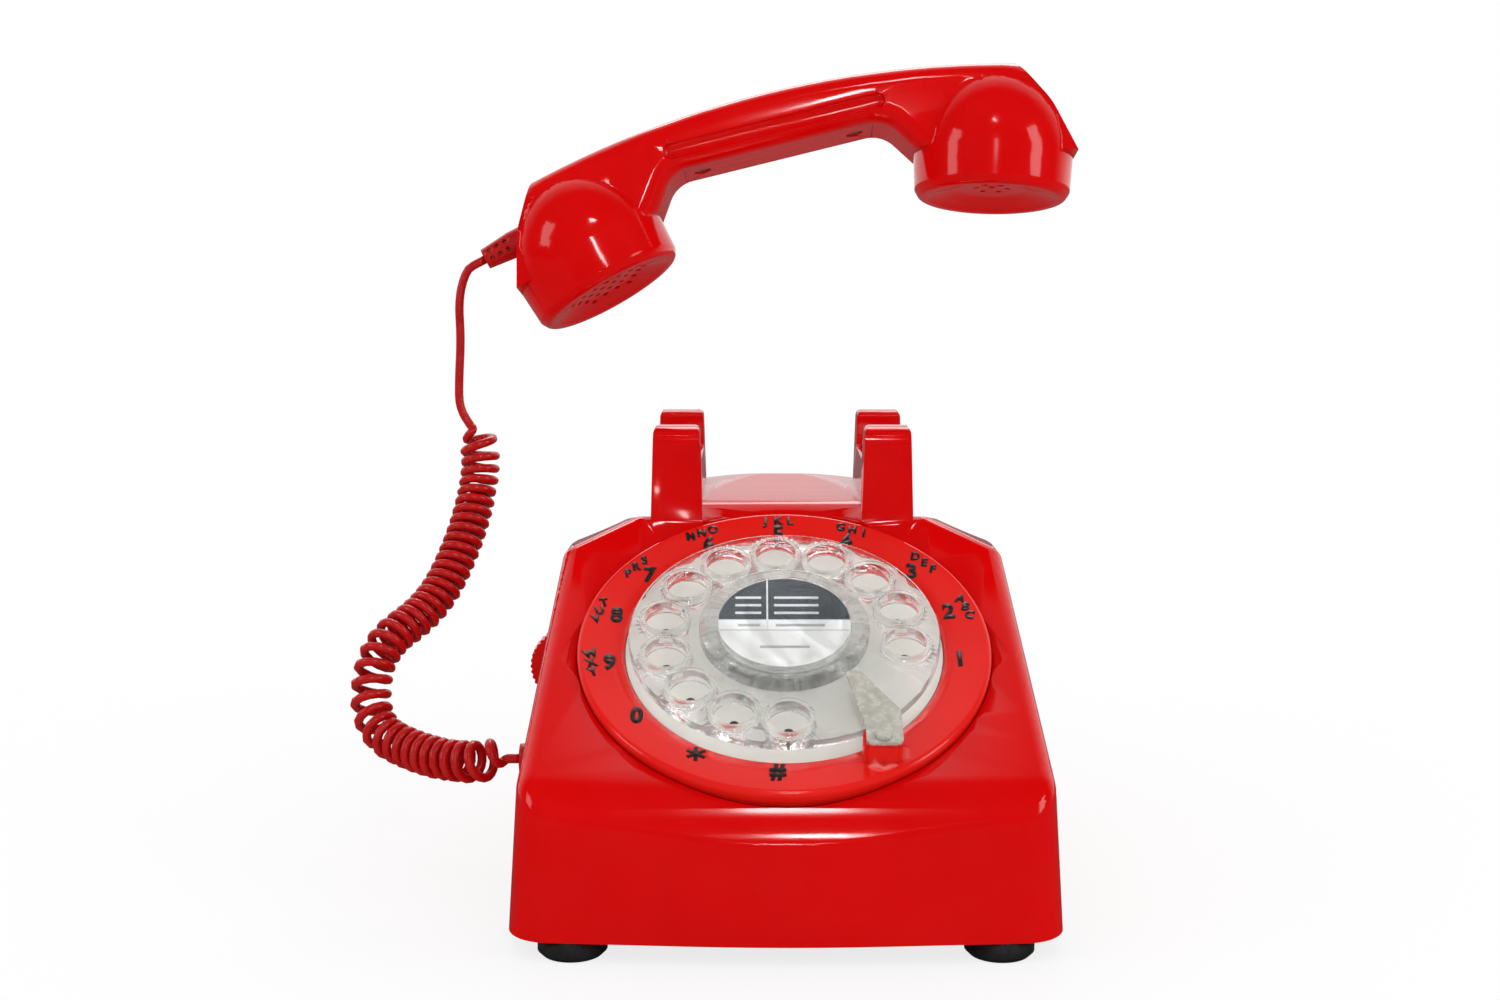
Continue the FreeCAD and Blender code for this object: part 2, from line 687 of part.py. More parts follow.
# Dial: ring, plate, wheel and what turns with it.
ring_lathe = lathe("ring_lathe",
                   [(ring_in, -frame_top), (open_r - free, -frame_top), (open_r - free, -ring_low),
                                  (ring_r, -ring_low), (ring_r, 0), (ring_in + 1.6, -1.4), (ring_in, -3.4)],
                   [((4,), size(1.8))])
block = prism("stop_block", "XY_Plane", [(block_x0, block_y0), (block_x1, block_y0), (block_x1, block_y1),
                                         (block_x0, block_y1)], block_z + 4, [((0, 1, 2, 3), size(2))],
                                         mid=False)
put(block, 0, 0, -4)
stop_hole = cyl("stop_hole", pin_r + fit, 9, (block_x0 + block_x1) / 2, (block_y0 + block_y1) / 2,
                block_z - 7)
node("number_ring", on_dial(cut("number_ring_body", fuse("ring_and_block", ring_lathe, block), stop_hole)))
dial_plate = lathe("dial_plate_body", [(shaft_r + 0.6, -plate_low - 1.2), (ring_in - 3.3, -plate_low - 1.2),
                                       (ring_in - 3.3, -frame_top), (ring_in - free, -frame_top),
                                       (ring_in - free, -plate_low), (shaft_r + 0.6, -plate_low)])
node("dial_plate", on_dial(dial_plate))
wheel_top = wheel_low + wheel_t
disc = lathe("wheel_disc", [(shaft_r + fit, wheel_low), (wheel_r, wheel_low), (wheel_r, wheel_top),
                            (shaft_r + fit, wheel_top)], [((2,), size(1.0))])
collars = []
holes = []
for i in range(12):
    a = math.radians(hole_first.v + hole_step.v * i)
    px = hole_ring * cosine(hole_first + hole_step * i)
    py = hole_ring * sine(hole_first + hole_step * i)
    collars.append(cyl("collar%d" % i, collar_r, wheel_t + collar_up + collar_down, px, py,
                       wheel_low - collar_down))
    holes.append(cyl("finger_hole%d" % i, hole_r, over, px, py, wheel_low - over / 2))
wheel = cut("wheel_body", fuse("wheel_solid", disc, *collars), *holes)
node("finger_wheel", on_dial(wheel))
node("card_bezel", on_dial(lathe("card_bezel_body", [(button_r + free, wheel_top), (bezel_r, wheel_top),
                                                     (bezel_r, bezel_top - 2.2), (bezel_r - 2.2, bezel_top),
                                                     (button_r + free, bezel_top)], [((2, 3), size(1.0))])))
button_top = button_low + button_t
node("centre_button", on_dial(lathe("centre_button_body", [(0, -stem_end), (stem_r, -stem_end),
                                                           (stem_r, button_low), (button_r, button_low),
                                                           (button_r, button_top), (0, button_top)])))
node("number_card", on_dial(cyl("number_card_body", button_r - 0.1, card_t), z=button_top))
node("card_lens", on_dial(cyl("card_lens_body", button_r, lens_t), z=button_top + card_t))
coil = doc.addObject("Part::Torus", "button_spring_body")
bind(coil, "Radius1", size(10))
bind(coil, "Radius2", spring_t)
node("button_spring", on_dial(coil, z=(wheel_top + button_low) / 2))
node("dial_shaft", on_dial(lathe("dial_shaft_body", [(stem_r + fit, -shaft_end), (shaft_r, -shaft_end),
                                                     (shaft_r, -1), (shaft_r + 2.5, -1),
                                                     (shaft_r + 2.5, wheel_low),
                                                     (shaft_r, wheel_low), (shaft_r, wheel_top),
                                                     (stem_r + fit, wheel_top)])))
node("dial_bush", on_dial(lathe("dial_bush_body", [(shaft_r + fit, -bush_end), (bush_r, -bush_end),
                                                   (bush_r, -frame_top), (bush_r + 2, -frame_top),
                                                   (bush_r + 2, -frame_top + 1.5),
                                                   (shaft_r + fit, -frame_top + 1.5)])))
pitch_g = module * gear_teeth / 2
pitch_p = module * pinion_teeth / 2
span = pitch_g + pitch_p
frame_low = frame_top + frame_t
frame_disc = cyl("frame_disc", frame_r, frame_t, 0, 0, -frame_low)
frame_pins = [cyl("pinion_pin", pin_r, gear_low - frame_low + 2, -span, 0, -gear_low - 2),
              cyl("spring_pin", pin_r, 25 - frame_low, spring_out + pin_r, 0, -25)]
frame_cuts = [cyl("frame_bore", bush_r + 0.02, over, 0, 0, -frame_top - over / 2)]
for i, (px, py) in enumerate(frame_spots):
    frame_cuts.append(cyl("frame_screw_hole%d" % i, frame_screw + 0.15, over, px, py,
                          -frame_top - over / 2))
node("dial_frame",
     on_dial(fuse("dial_frame_body", cut("frame_plate", frame_disc, *frame_cuts), *frame_pins)))
dial_screws = []
for i, (px, py) in enumerate(frame_spots):
    dial_screws.append(put(screw("dial_screw%d" % i, frame_screw, head_r - 0.6, head_t, frame_t + 2.6),
                           px, py, -frame_low))
node("dial_screws", on_dial(group("dial_screw_set", *dial_screws)))


def gear(teeth, bore, low, high, turn_by):
    """A spur gear with 25 degree flanks and short teeth, thinned for play."""
    m = module.v
    rp = m * teeth / 2
    pa = math.radians(25)
    rb = rp * math.cos(pa)
    tip = rp + 0.8 * m
    root = rp - 1.05 * m
    inv = math.tan(pa) - pa
    half_tooth = math.pi / (2 * teeth) - backlash.v / (4 * rp)
    pts = []
    for k in range(teeth):
        mid = 2 * math.pi * k / teeth + turn_by
        rise = []
        for j in range(6):
            r = max(root, rb) + (tip - max(root, rb)) * j / 5
            al = math.acos(min(1.0, rb / r))
            rise.append((r, half_tooth + inv - (math.tan(al) - al)))
        pts.append((root, mid - rise[0][1]))
        pts.extend((r, mid - a) for r, a in rise)
        pts.extend((r, mid + a) for r, a in reversed(rise))
        pts.append((root, mid + rise[0][1]))
    flat = [Vector(r * math.cos(a), r * math.sin(a), low) for r, a in pts]
    clean = [flat[0]]
    for p in flat[1:]:
        if p.distanceToPoint(clean[-1]) > 1e-4:
            clean.append(p)
    face = Part.Face(Part.makePolygon(clean + [clean[0]]))
    solid_gear = face.extrude(Vector(0, 0, high - low))
    return solid_gear.cut(Part.makeCylinder(bore, high - low + 2, Vector(0, 0, low - 1)))


gear_shape = gear(int(gear_teeth.v), shaft_r.v + 0.02, -gear_low.v, -gear_low.v + gear_t.v, 0.0)
node("dial_gear", on_dial(plain("dial_gear_body", gear_shape)))
pinion_shape = gear(int(pinion_teeth.v), pin_r.v + fit.v, -gear_low.v - 0.5, -gear_low.v + gear_t.v + 0.5,
                    math.pi / pinion_teeth.v)
hub = Part.makeCylinder(4.0, gear_low.v - gear_t.v - 0.5 - frame_low.v - 0.05,
                        Vector(0, 0, -gear_low.v + gear_t.v + 0.5))
hub = hub.cut(Part.makeCylinder(pin_r.v + fit.v, 40, Vector(0, 0, -40)))
node("governor_pinion",
     on_dial(plain("governor_pinion_body", pinion_shape.fuse(hub).removeSplitter()), x=-span))


def spiral(r0, r1, turns, thick, low, high):
    """A flat spring of tangent half circles growing from r0 to r1."""
    n = int(turns * 2)
    step = (r1 - r0) / n
    sides = []
    for off in (-thick / 2, thick / 2):
        edges = []
        r = r0
        c = 0.0
        sign = 1
        for k in range(n):
            rr = r + off
            a = Vector(c + sign * rr, 0, low)
            m = Vector(c, sign * rr, low)
            b = Vector(c - sign * rr, 0, low)
            edges.append(Part.Arc(a, m, b).toShape())
            c = c + sign * step
            r = r + step
            sign = -sign
        sides.append(edges)
    start = [s[0].valueAt(s[0].FirstParameter) for s in sides]
    end = [s[-1].valueAt(s[-1].LastParameter) for s in sides]
    caps = [Part.makeLine(start[0], start[1]), Part.makeLine(end[0], end[1])]
    wire = Part.Wire(Part.__sortEdges__(sides[0] + sides[1] + caps))
    return Part.Face(wire).extrude(Vector(0, 0, high - low))


node("return_spring", on_dial(plain("return_spring_body",
                                    spiral(shaft_r.v + spring_thick.v / 2 + 0.05,
                                           spring_out.v - spring_thick.v / 2 - 2.4,
                                           4, spring_thick.v, -24.6, -20.6))))
node("pulse_contacts",
     on_dial(fuse("pulse_contacts_body", box("contact_block", 42, 56, 14, 24, -20, -frame_low),
                                    box("contact_leaf_a", 24, 42, 16, 22, -16.4, -16),
                                    box("contact_leaf_b", 24, 42, 16, 22, -18.4, -18))))
bridge_posts = [cyl("bridge_post_a", 3, bridge_low - frame_low, 0, 46, -bridge_low),
                cyl("bridge_post_b", 3, bridge_low - frame_low, 0, -46, -bridge_low)]
node("dial_bridge",
     on_dial(fuse("dial_bridge_body", box("bridge_bar", -6, 6, -50, 50, -bridge_low, -bridge_low + 2),
                                 *bridge_posts)))
node("speaker_switch",
     on_dial(box("speaker_switch_body", -4, 4, -4, 4, 0, bridge_low - 2 - stem_end - press - 0.1),
                               x=-4, y=-4, z=-bridge_low + 2))
stop_low = block_z
stop_plate = prism("finger_stop_plate", "XY_Plane",
                   [(20.4, -24.0), (24.2, -21.4), (38.0, -42.0), (38.0, -57.0), (26.0, -57.0),
                    (26.0, -48.0)],
                   stop_t, [((0, 1), size(1.0)), ((2, 5), size(6)), ((3, 4), size(2))], mid=False)
put(stop_plate, 0, 0, stop_low)
stop_x = (block_x0 + block_x1) / 2
stop_y = (block_y0 + block_y1) / 2
node("finger_stop",
     on_dial(cut("finger_stop_body", stop_plate, cyl("stop_plate_hole", pin_r + 0.15, over, stop_x, stop_y,
                                                                    stop_low - 3))))
stop_screw = screw("stop_screw_raw", pin_r, size(2.6), size(1.2), stop_t + 6)
put(stop_screw, stop_x, stop_y, stop_low + stop_t, (1, 0, 0), 180)
node("stop_screw", on_dial(group("stop_screw_body", stop_screw)))

# Hook: two plungers in the saddles on one bar, and the switch below it.
for name, s in (("plunger_left", -1), ("plunger_right", 1)):
    top = saddle_z + plunger_rise - bar_top
    p = lathe(name + "_body",
              [(0, 0), (plunger_r, 0), (plunger_r, top - 1), (plunger_r - 1, top), (0, top)])
    node(name, put(p, plunger_x * s, cradle_y, bar_top))
node("hook_bar", box("hook_bar_body", -bar_half, bar_half, cradle_y - bar_w / 2, cradle_y + bar_w / 2,
                     bar_top - bar_t, bar_top))
switch_top = bar_top - bar_t - plunger_rise - 0.4
bracket_y = cradle_y + 7
node("hook_switch", fuse("hook_switch_body",
                         box("hook_switch_case", 28, 44, cradle_y - 5, bracket_y, 82, switch_top - 1.6),
                         cyl("hook_switch_key", 2, 2.6, 36, cradle_y, switch_top - 2.6)))
node("switch_bracket",
     fuse("switch_bracket_body", box("bracket_wall", 26, 46, bracket_y, bracket_y + 2, plate_top, 96),
                            box("bracket_foot", 26, 46, bracket_y, bracket_y + 16, plate_top,
                                plate_top + 2)))

# Main board, loudspeaker and sockets.
node("main_board",
     box("main_board_body", board_x0, board_x1, board_y0, board_y1, board_z, board_z + board_t))
stands = []
board_screws = []
corners = [(board_x0 + inset, board_y0 + inset), (board_x1 - inset, board_y0 + inset),
           (board_x0 + inset, board_y1 - inset), (board_x1 - inset, board_y1 - inset)]
for i, (px, py) in enumerate(corners):
    stands.append(cyl("standoff%d" % i, 3, board_z - plate_top, px, py, plate_top))
    board_screws.append(cyl("board_screw%d" % i, 2.6, 1.8, px, py, board_z + board_t))
node("board_standoffs", group("standoff_set", *stands))
node("board_screws", group("board_screw_set", *board_screws))
node("loudspeaker",
     put(lathe("loudspeaker_body", [(horn_r - 4, 0), (horn_r, 0), (horn_r, 3), (12, 11), (12, 17), (0, 17),
                                                   (0, 13), (9, 9.5), (horn_r - 4, 2.2)]), spk_x, spk_y,
                                                   plate_top))
node("speaker_cone",
     put(lathe("speaker_cone_body", [(0, 8.6), (7, 8.6), (horn_r - 4.4, 1.4), (horn_r - 4.4, 0.6),
                                                     (7, 7.6), (0, 7.6)]), spk_x, spk_y, plate_top))
line_case = box("line_case", line_x0, line_x0 + line_w, line_y - 16, line_y, board_z + board_t,
                board_z + board_t + line_h)
line_hole = box("line_hole", line_x0 + 2.5, line_x0 + line_w - 2.5, line_y - 12, line_y + 2,
                board_z + board_t + 2.5,
                board_z + board_t + line_h - 2.5)
node("line_socket", cut("line_socket_body", line_case, line_hole))
node("handset_socket",
     box("handset_socket_body", jack_x, jack_x + 16, jack_y - jack_half, jack_y + jack_half,
                           jack_z - jack_half, jack_z + jack_half))
node("cord_plug",
     cone("cord_plug_body", plug_r, plug_tip, plug_len, jack_x, jack_y, jack_z, (0, 1, 0), -90))


def knurl(r, ribs, low, high, bore):
    """A disc with rounded ribs round its rim."""
    pts = []
    for k in range(ribs * 4):
        a = 2 * math.pi * k / (ribs * 4)
        pts.append(Vector((r - 0.35 + 0.35 * math.cos(ribs * a)) * math.cos(a),
                          (r - 0.35 + 0.35 * math.cos(ribs * a)) * math.sin(a), low))
    disc_face = Part.Face(Part.makePolygon(pts + [pts[0]]))
    return disc_face.extrude(Vector(0, 0, high - low)).cut(Part.makeCylinder(bore, 40,
                                                                             Vector(0, 0, low - 10)))


vol = plain("volume_wheel_body",
            knurl(vol_r.v, int(vol_ribs.v), -vol_t.v / 2, vol_t.v / 2, vol_axle.v + fit.v))
node("volume_wheel", put(vol, vol_x, vol_y, vol_z, (1, 0, 0), 90))
node("volume_pot", fuse("volume_pot_body",
                        box("pot_case", vol_x - 2.4, vol_x + 6, vol_y + vol_t / 2 + 0.5, vol_y + 13,
                            vol_z - 6, vol_z + 6),
                        cyl("pot_axle", vol_axle, vol_t + 3, vol_x, vol_y + vol_t / 2 + 1, vol_z,
                            (1, 0, 0), 90)))

# Handset, drawn in its own frame and then lifted to where it is held.
seam_u = cap_u + cap_h * sc
seam_w = cap_w + cap_h * cc


def hand_outline(name, length, end, reach):
    right = [(tip_u, tip_w), (end, end_w), (seam_u + reach * cc, seam_w - reach * sc),
             (seam_u - cap_r * cc, seam_w + cap_r * sc), (under_u, under_w)]
    left = [(-u, w) for u, w in reversed(right)]
    return prism(name, "XZ_Plane", [(0, spine_w)] + right + left, length,
                 [((0,), spine_r), ((2, 9), size(30)), ((5, 6), under_r)])


slab = hand_outline("handset_slab", handle_w, end_u, cap_r)


def long_edge(e):
    p = e.valueAt((e.FirstParameter + e.LastParameter) / 2)
    if abs(abs(p.y) - handle_w.v / 2) > 0.01:
        return False
    return p.z > tip_w.v + 0.5 or (abs(p.x) < under_u.v + 8 and p.z > 1)


soften(slab, slab.Tip, [(long_edge, handle_r)])
wide = hand_outline("handset_wide", cap_r * 2 + 4, end_u, cap_r)
domes = []
for name, s in (("dome_ear", 1), ("dome_mouth", -1)):
    d = doc.addObject("Part::Ellipsoid", name)
    d.Angle1 = -90
    d.Angle2 = 90
    d.Angle3 = 360
    bind(d, "Radius1", dome_h)
    bind(d, "Radius2", cap_r)
    bind(d, "Radius3", cap_r)
    domes.append(put(d, seam_u * s, 0, seam_w, (0, 1, 0), cant * s))
cups = common("handset_cups", wide, fuse("domes", *domes))
bores = [cyl("cup_bore_ear", cup_r, cup_d + 2, seam_u - 2 * sc, 0, seam_w - 2 * cc, (0, 1, 0), cant),
         cyl("cup_bore_mouth", cup_r, cup_d + 2, -seam_u + 2 * sc, 0, seam_w - 2 * cc, (0, 1, 0), -cant)]
grip_room = box("grip_room", -grip_u, grip_u, -grip_y, grip_y, under_w - 2, under_w + grip_t)
weight_room = box("weight_room", -weight_u - free, weight_u + free, -weight_y - free, weight_y + free,
                  under_w + grip_t - 1, under_w + grip_t + weight_h + free)
grip_holes = [cyl("grip_bore_a", screw_r + fit, 9, grip_screw_u, 0, under_w + grip_t - 1),
              cyl("grip_bore_b", screw_r + fit, 9, -grip_screw_u, 0, under_w + grip_t - 1)]
sd = sine(boot_dip)
cd = cosine(boot_dip)
root_u = boot_u + boot_len * cd
root_w = boot_w + boot_len * sd
boot_room = cyl("boot_room", boot_r + 0.1, boot_len, root_u, 0, root_w, (0, 1, 0), -(boot_dip + 90))
body_solid = fuse("handset_solid", slab, cups)


def flute(name, s):
    """A long hollow in the side of the handle, with round ends."""
    y = (handle_w / 2 + 0.6) * s
    w = under_w + flute_w
    ends = []
    for tail, u in (("_a", -flute_u), ("_b", flute_u)):
        end = doc.addObject("Part::Sphere", name + tail)
        bind(end, "Radius", flute_r)
        ends.append(put(end, u, y, w))
    return fuse(name, cyl(name + "_rod", flute_r, flute_u * 2, -flute_u, y, w, (0, 1, 0), 90), *ends)


flutes = [flute("flute_front", -1), flute("flute_rear", 1)]
handset = cut("handset_body_cut", body_solid, *bores, *flutes, grip_room, weight_room, *grip_holes,
              boot_room)
grip_blank = box("grip_blank", -grip_u + fit, grip_u - fit, -grip_y + fit, grip_y - fit,
                 under_w, under_w + grip_t)
grip = cut("handset_grip_cut", grip_blank,
           cyl("grip_hole_a", screw_r + 0.2, over, grip_screw_u, 0, under_w - 4),
           cyl("grip_hole_b", screw_r + 0.2, over, -grip_screw_u, 0, under_w - 4),
           cyl("grip_sink_a", head_r, 2.4, grip_screw_u, 0, under_w - 0.2),
           cyl("grip_sink_b", head_r, 2.4, -grip_screw_u, 0, under_w - 0.2))
grip_screws = [put(screw("grip_screw_a", screw_r, head_r - 0.2, head_t, 8), grip_screw_u, 0, under_w + 2.2),
               put(screw("grip_screw_b", screw_r, head_r - 0.2, head_t, 8), -grip_screw_u, 0,
                   under_w + 2.2)]
weight = box("handset_weight_box", -weight_u, weight_u, -weight_y, weight_y, under_w + grip_t,
             under_w + grip_t + weight_h)



def cap(name, holes_at):
    """A dished cap about its own axis, rim at z = 0 and open at the top."""
    b = lathe(name + "_lathe", [(0, 4.6), (13, 3.8), (21.5, 1.2), (24.5, 0), (cap_r - 2.6, 0),
                                (cap_r - 0.8, 3), (cap_r, cap_h),
                                (cap_in, cap_h), (cap_in, cap_floor), (0, cap_floor)],
              [((4, 5), size(2.4)), ((3,), size(1.5))])
    drills = [cyl("%s_hole%d" % (name, i), r, over, x, y, -2) for i, (x, y, r) in enumerate(holes_at)]
    return cut(name + "_cut", b, group(name + "_drills", *drills))


ear_holes = [(0, 0, 1.1)]
mouth_holes = []
for k in range(6):
    a = math.radians(60 * k)
    ear_holes.append((6 * math.cos(a), 6 * math.sin(a), 1.1))
for i in range(-4, 5):
    for j in range(-4, 5):
        x = pitch_hole.v * (i + 0.5 * j)
        y = pitch_hole.v * j * math.sqrt(3) / 2
        if math.hypot(x, y) < 17.6:
            mouth_holes.append((x, y, 1.1))
ear = cap("ear_cap", ear_holes)
mouth = cap("mouth_cap", mouth_holes)
receiver = lathe("receiver_lathe", [(0, cap_floor), (cap_in - 0.6, cap_floor), (cap_in - 0.6, cap_h - 1.5),
                                    (cup_r - 1, cap_h - 1.5), (cup_r - 1, cap_h + 7), (0, cap_h + 7)])
mic = lathe("microphone_lathe", [(0, cap_floor), (15, cap_floor), (15, cap_floor + 7), (0, cap_floor + 7)])
boot_blank = lathe("boot_blank", [(0, 0), (boot_r, 0), (boot_r, 6), (boot_tip, boot_len), (0, boot_len)])
pits = []
for i in range(3):
    for j in (-1, 1):
        pits.append(box("pit%d%d" % (i, j + 1), 1.7 * j - 0.7, 1.7 * j + 0.7, -7, 7, 7.4 + 3.4 * i,
                        8.9 + 3.4 * i))
pit_core = box("pit_core", -6, 6, -3.1, 3.1, 0, boot_len)
boot = cut("boot_body", boot_blank, cut("boot_pits", fuse("pit_set", *pits), pit_core))
doc.recompute()

# Where the handset is held: turned about the boot's end, then moved by the lift.
axis = Vector(math.cos(math.radians(turn_dir.v)), math.sin(math.radians(turn_dir.v)), 0)
tip_local = Vector(boot_u.v, 0, boot_w.v)
tip_seat = tip_local + Vector(0, cradle_y.v, seat_z.v)
tip_held = tip_seat + Vector(lift_x.v, lift_y.v, lift_z.v)
swing = Rotation(axis, turn.v)
held = Placement(tip_held - swing.multVec(tip_local), swing)


def in_hand(name, o, local=None):
    o.setExpression("Placement.Base.x", None)
    o.setExpression("Placement.Base.y", None)
    o.setExpression("Placement.Base.z", None)
    o.setExpression("Placement.Rotation.Angle", None)
    o.Placement = held.multiply(local if local is not None else o.Placement)
    return node(name, o)


def at_cap(s):
    return Placement(Vector(cap_u.v * s, 0, cap_w.v), Rotation(Vector(0, 1, 0), cant.v * s))


none = Placement()
in_hand("handset_body", handset, none)
in_hand("handset_grip", grip, none)
in_hand("grip_screws", group("grip_screw_set", *grip_screws), none)
in_hand("handset_weight", weight)
in_hand("ear_cap", ear, at_cap(1))
in_hand("mouth_cap", mouth, at_cap(-1))
in_hand("receiver", receiver, at_cap(1))
in_hand("microphone", mic, at_cap(-1))
in_hand("cord_boot", boot,
        Placement(Vector(root_u.v, 0, root_w.v), Rotation(Vector(0, 1, 0), -(boot_dip.v + 90))))

# Curly cord: one tube from the boot, through the lead and the curls, to the plug.
exit_dir = swing.multVec(Vector(-cd.v, 0, -sd.v))
lead = tip_held + exit_dir * wire_d.v
plug_end = Vector(jack_x.v - plug_len.v, jack_y.v, jack_z.v)
poles = [lead, lead + exit_dir * 5.0, Vector(-124.4, 54.6, 206.5), Vector(-123.6, 53.8, 191.5),
         Vector(-124.6, 52.8, 175.0), Vector(-124.6, 52.0, 164.0), Vector(-119.0, 51.0, 156.0),
         Vector(-116.0, 50.0, 148.0), Vector(-117.0, 45.0, 132.0), Vector(-122.0, 31.0, 112.0),
         Vector(-131.0, 15.0, 93.0), Vector(-149.5, -4.0, 82.0), Vector(-150.0, -15.5, 55.0),
         Vector(-128.0, -32.0, 49.5), Vector(-109.0, -45.0, 50.5), plug_end + Vector(-9.0, 0, 0),
         plug_end + Vector(-wire_d.v, 0, 0)]


def route(u):
    """A point of the cubic through the poles, u from 0 to the number of spans."""
    m = len(poles)
    knots = [0] * 4 + list(range(1, m - 3)) + [m - 3] * 4
    u = min(max(u, 0.0), m - 3 - 1e-9)
    k = int(u) + 3
    d = [poles[j + k - 3] for j in range(4)]
    for r in range(1, 4):
        for j in range(3, r - 1, -1):
            a = (u - knots[j + k - 3]) / (knots[j + 1 + k - r] - knots[j + k - 3])
            d[j] = d[j - 1] * (1 - a) + d[j] * a
    return d[3]


steps = 3000
mid_line = [route((len(poles) - 3) * i / steps) for i in range(steps + 1)]
run = [0.0]
for i in range(steps):
    run.append(run[-1] + mid_line[i].distanceToPoint(mid_line[i + 1]))


def nearest(p):
    return run[min(range(steps + 1), key=lambda i: mid_line[i].distanceToPoint(p))]


curl_start = nearest(Vector(-120.0, 51.3, 158.0))
curl_end = run[-1] - 1.0
bend_at = nearest(Vector(-148.0, -12.0, 64.0))


def pitch_at(x):
    bend = math.exp(-((x - bend_at) / 20) ** 2)
    begin = math.exp(-((x - curl_start) / 9) ** 2) + math.exp(-((x - curl_end) / 9) ** 2)
    loose = min(1.0, max(0.0, (x - curl_end + 40) / 40))
    return curl_pitch.v + bend_extra.v * bend + begin_extra.v * begin + end_extra.v * loose


def radius_at(x):
    q = min((x - curl_start) / curl_ramp.v, (curl_end - x) / curl_ramp.v)
    q = min(1.0, max(0.0, q))
    return curl_r.v * q * q * (3 - 2 * q)


def unit(p):
    return p * (1.0 / p.Length)


side_dir = Vector(0, 0, 0)
phase = 0.0
thread = []
turns = []
for i in range(steps + 1):
    t = unit(mid_line[min(i + 1, steps)] - mid_line[max(i - 1, 0)])
    if i == 0:
        side_dir = unit(t.cross(Vector(0, 1, 0)))
    side_dir = unit(side_dir - t * side_dir.dot(t))
    across = t.cross(side_dir)
    if i > 0 and curl_start < run[i] < curl_end:
        phase += 2 * math.pi * (run[i] - run[i - 1]) / pitch_at((run[i] + run[i - 1]) / 2)
    r = radius_at(run[i])
    thread.append(mid_line[i] + side_dir * (r * math.cos(phase)) + across * (r * math.sin(phase)))
    turns.append(phase / (2 * math.pi))
marks = [0]
for i in range(1, steps):
    if turns[i] - turns[marks[-1]] >= 0.25 or run[i] - run[marks[-1]] >= 6.0:
        marks.append(i)
if steps - marks[-1] < 8:
    marks.pop()
marks.append(steps)
knots_at = [thread[i] for i in marks]
slopes = [unit(thread[min(i + 1, steps)] - thread[max(i - 1, 0)]) for i in marks]
slopes[0] = exit_dir
slopes[-1] = Vector(1, 0, 0)


def arc(a, q, b):
    """An arc from a to b whose end tangents meet at q."""
    m = (a + b) * 0.5
    c = a.distanceToPoint(b) / 2
    h = q.distanceToPoint(m)
    if h < 1e-5:
        return Part.LineSegment(a, b).toShape()
    half_turn = math.atan2(h, c)
    return Part.Arc(a, m + (q - m) * (c * math.tan(half_turn / 2) / h), b).toShape()


edges = [Part.LineSegment(tip_held, lead).toShape()]
for k in range(len(marks) - 1):
    a, b, ta, tb = knots_at[k], knots_at[k + 1], slopes[k], slopes[k + 1]
    v = b - a
    t = ta + tb
    w = 2 * (1 - ta.dot(tb))
    if w < 1e-9:
        d = v.dot(v) / (4 * v.dot(tb))
    else:
        d = (-v.dot(t) + math.sqrt(v.dot(t) ** 2 + w * v.dot(v))) / w
    m = (a + b + (ta - tb) * d) * 0.5
    edges.append(arc(a, a + ta * d, m))
    edges.append(arc(m, b - tb * d, b))
edges.append(Part.LineSegment(knots_at[-1], plug_end).toShape())
spine = Part.Wire(edges)
ring = Part.Wire(Part.makeCircle(wire_d.v / 2, tip_held, exit_dir))
tube = Part.BRepOffsetAPI.MakePipeShell(spine)
tube.add(ring)
tube.build()
tube.makeSolid()
cord = tube.shape()
print("cord: length %.1f, volume %.1f, section by length %.1f, valid %s" % (
    spine.Length, cord.Volume, spine.Length * math.pi * wire_d.v ** 2 / 4, cord.isValid()))
fine = []
for e in edges:
    count = max(2, int(e.Length / 0.8))
    for j in range(count):
        fine.append(e.valueAt(e.FirstParameter + (e.LastParameter - e.FirstParameter) * j / count))
along = [0.0]
for i in range(1, len(fine)):
    along.append(along[-1] + fine[i].distanceToPoint(fine[i - 1]))
least = 1e9
for i in range(len(fine)):
    for j in range(i + 1, len(fine)):
        if along[j] - along[i] > 14 and abs(fine[i].x - fine[j].x) < 6 and abs(fine[i].z - fine[j].z) < 6:
            least = min(least, fine[i].distanceToPoint(fine[j]))
bends = [e.Curve.Radius for e in edges if isinstance(e.Curve, Part.Circle)]
print("cord: curl radius %.2f, wire %.2f, turns %.1f, least bend radius %.2f, least gap to itself %.2f" % (
    curl_r.v, wire_d.v, turns[-1], min(bends), least - wire_d.v))
node("handset_cord", plain("handset_cord_body", cord))

doc.recompute()
bad = []
for o in doc.Objects:
    if "Invalid" in o.State or "Error" in o.State:
        bad.append(o.Name)
for name, o in nodes.items():
    s = o.Shape
    if s.isNull() or not s.isValid() or not s.Solids:
        bad.append("shape " + name)
if bad:
    raise RuntimeError("not sound: " + ", ".join(bad))
for name, o in nodes.items():
    b = o.Shape.BoundBox
    print("%-18s %2d solids %10.1f mm3  x %.1f %.1f  y %.1f %.1f  z %.1f %.1f" % (
        name, len(o.Shape.Solids), o.Shape.Volume, b.XMin, b.XMax, b.YMin, b.YMax, b.ZMin, b.ZMax))
    o.Shape.exportStep("parts/%s.step" % name)
print("handset axis", axis, "pivot", tip_held, "lift", Vector(lift_x.v, lift_y.v, lift_z.v))
print("cord exit", tip_held, exit_dir)
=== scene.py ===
import json
import math

import bmesh
import bpy
from mathutils import Matrix, Vector


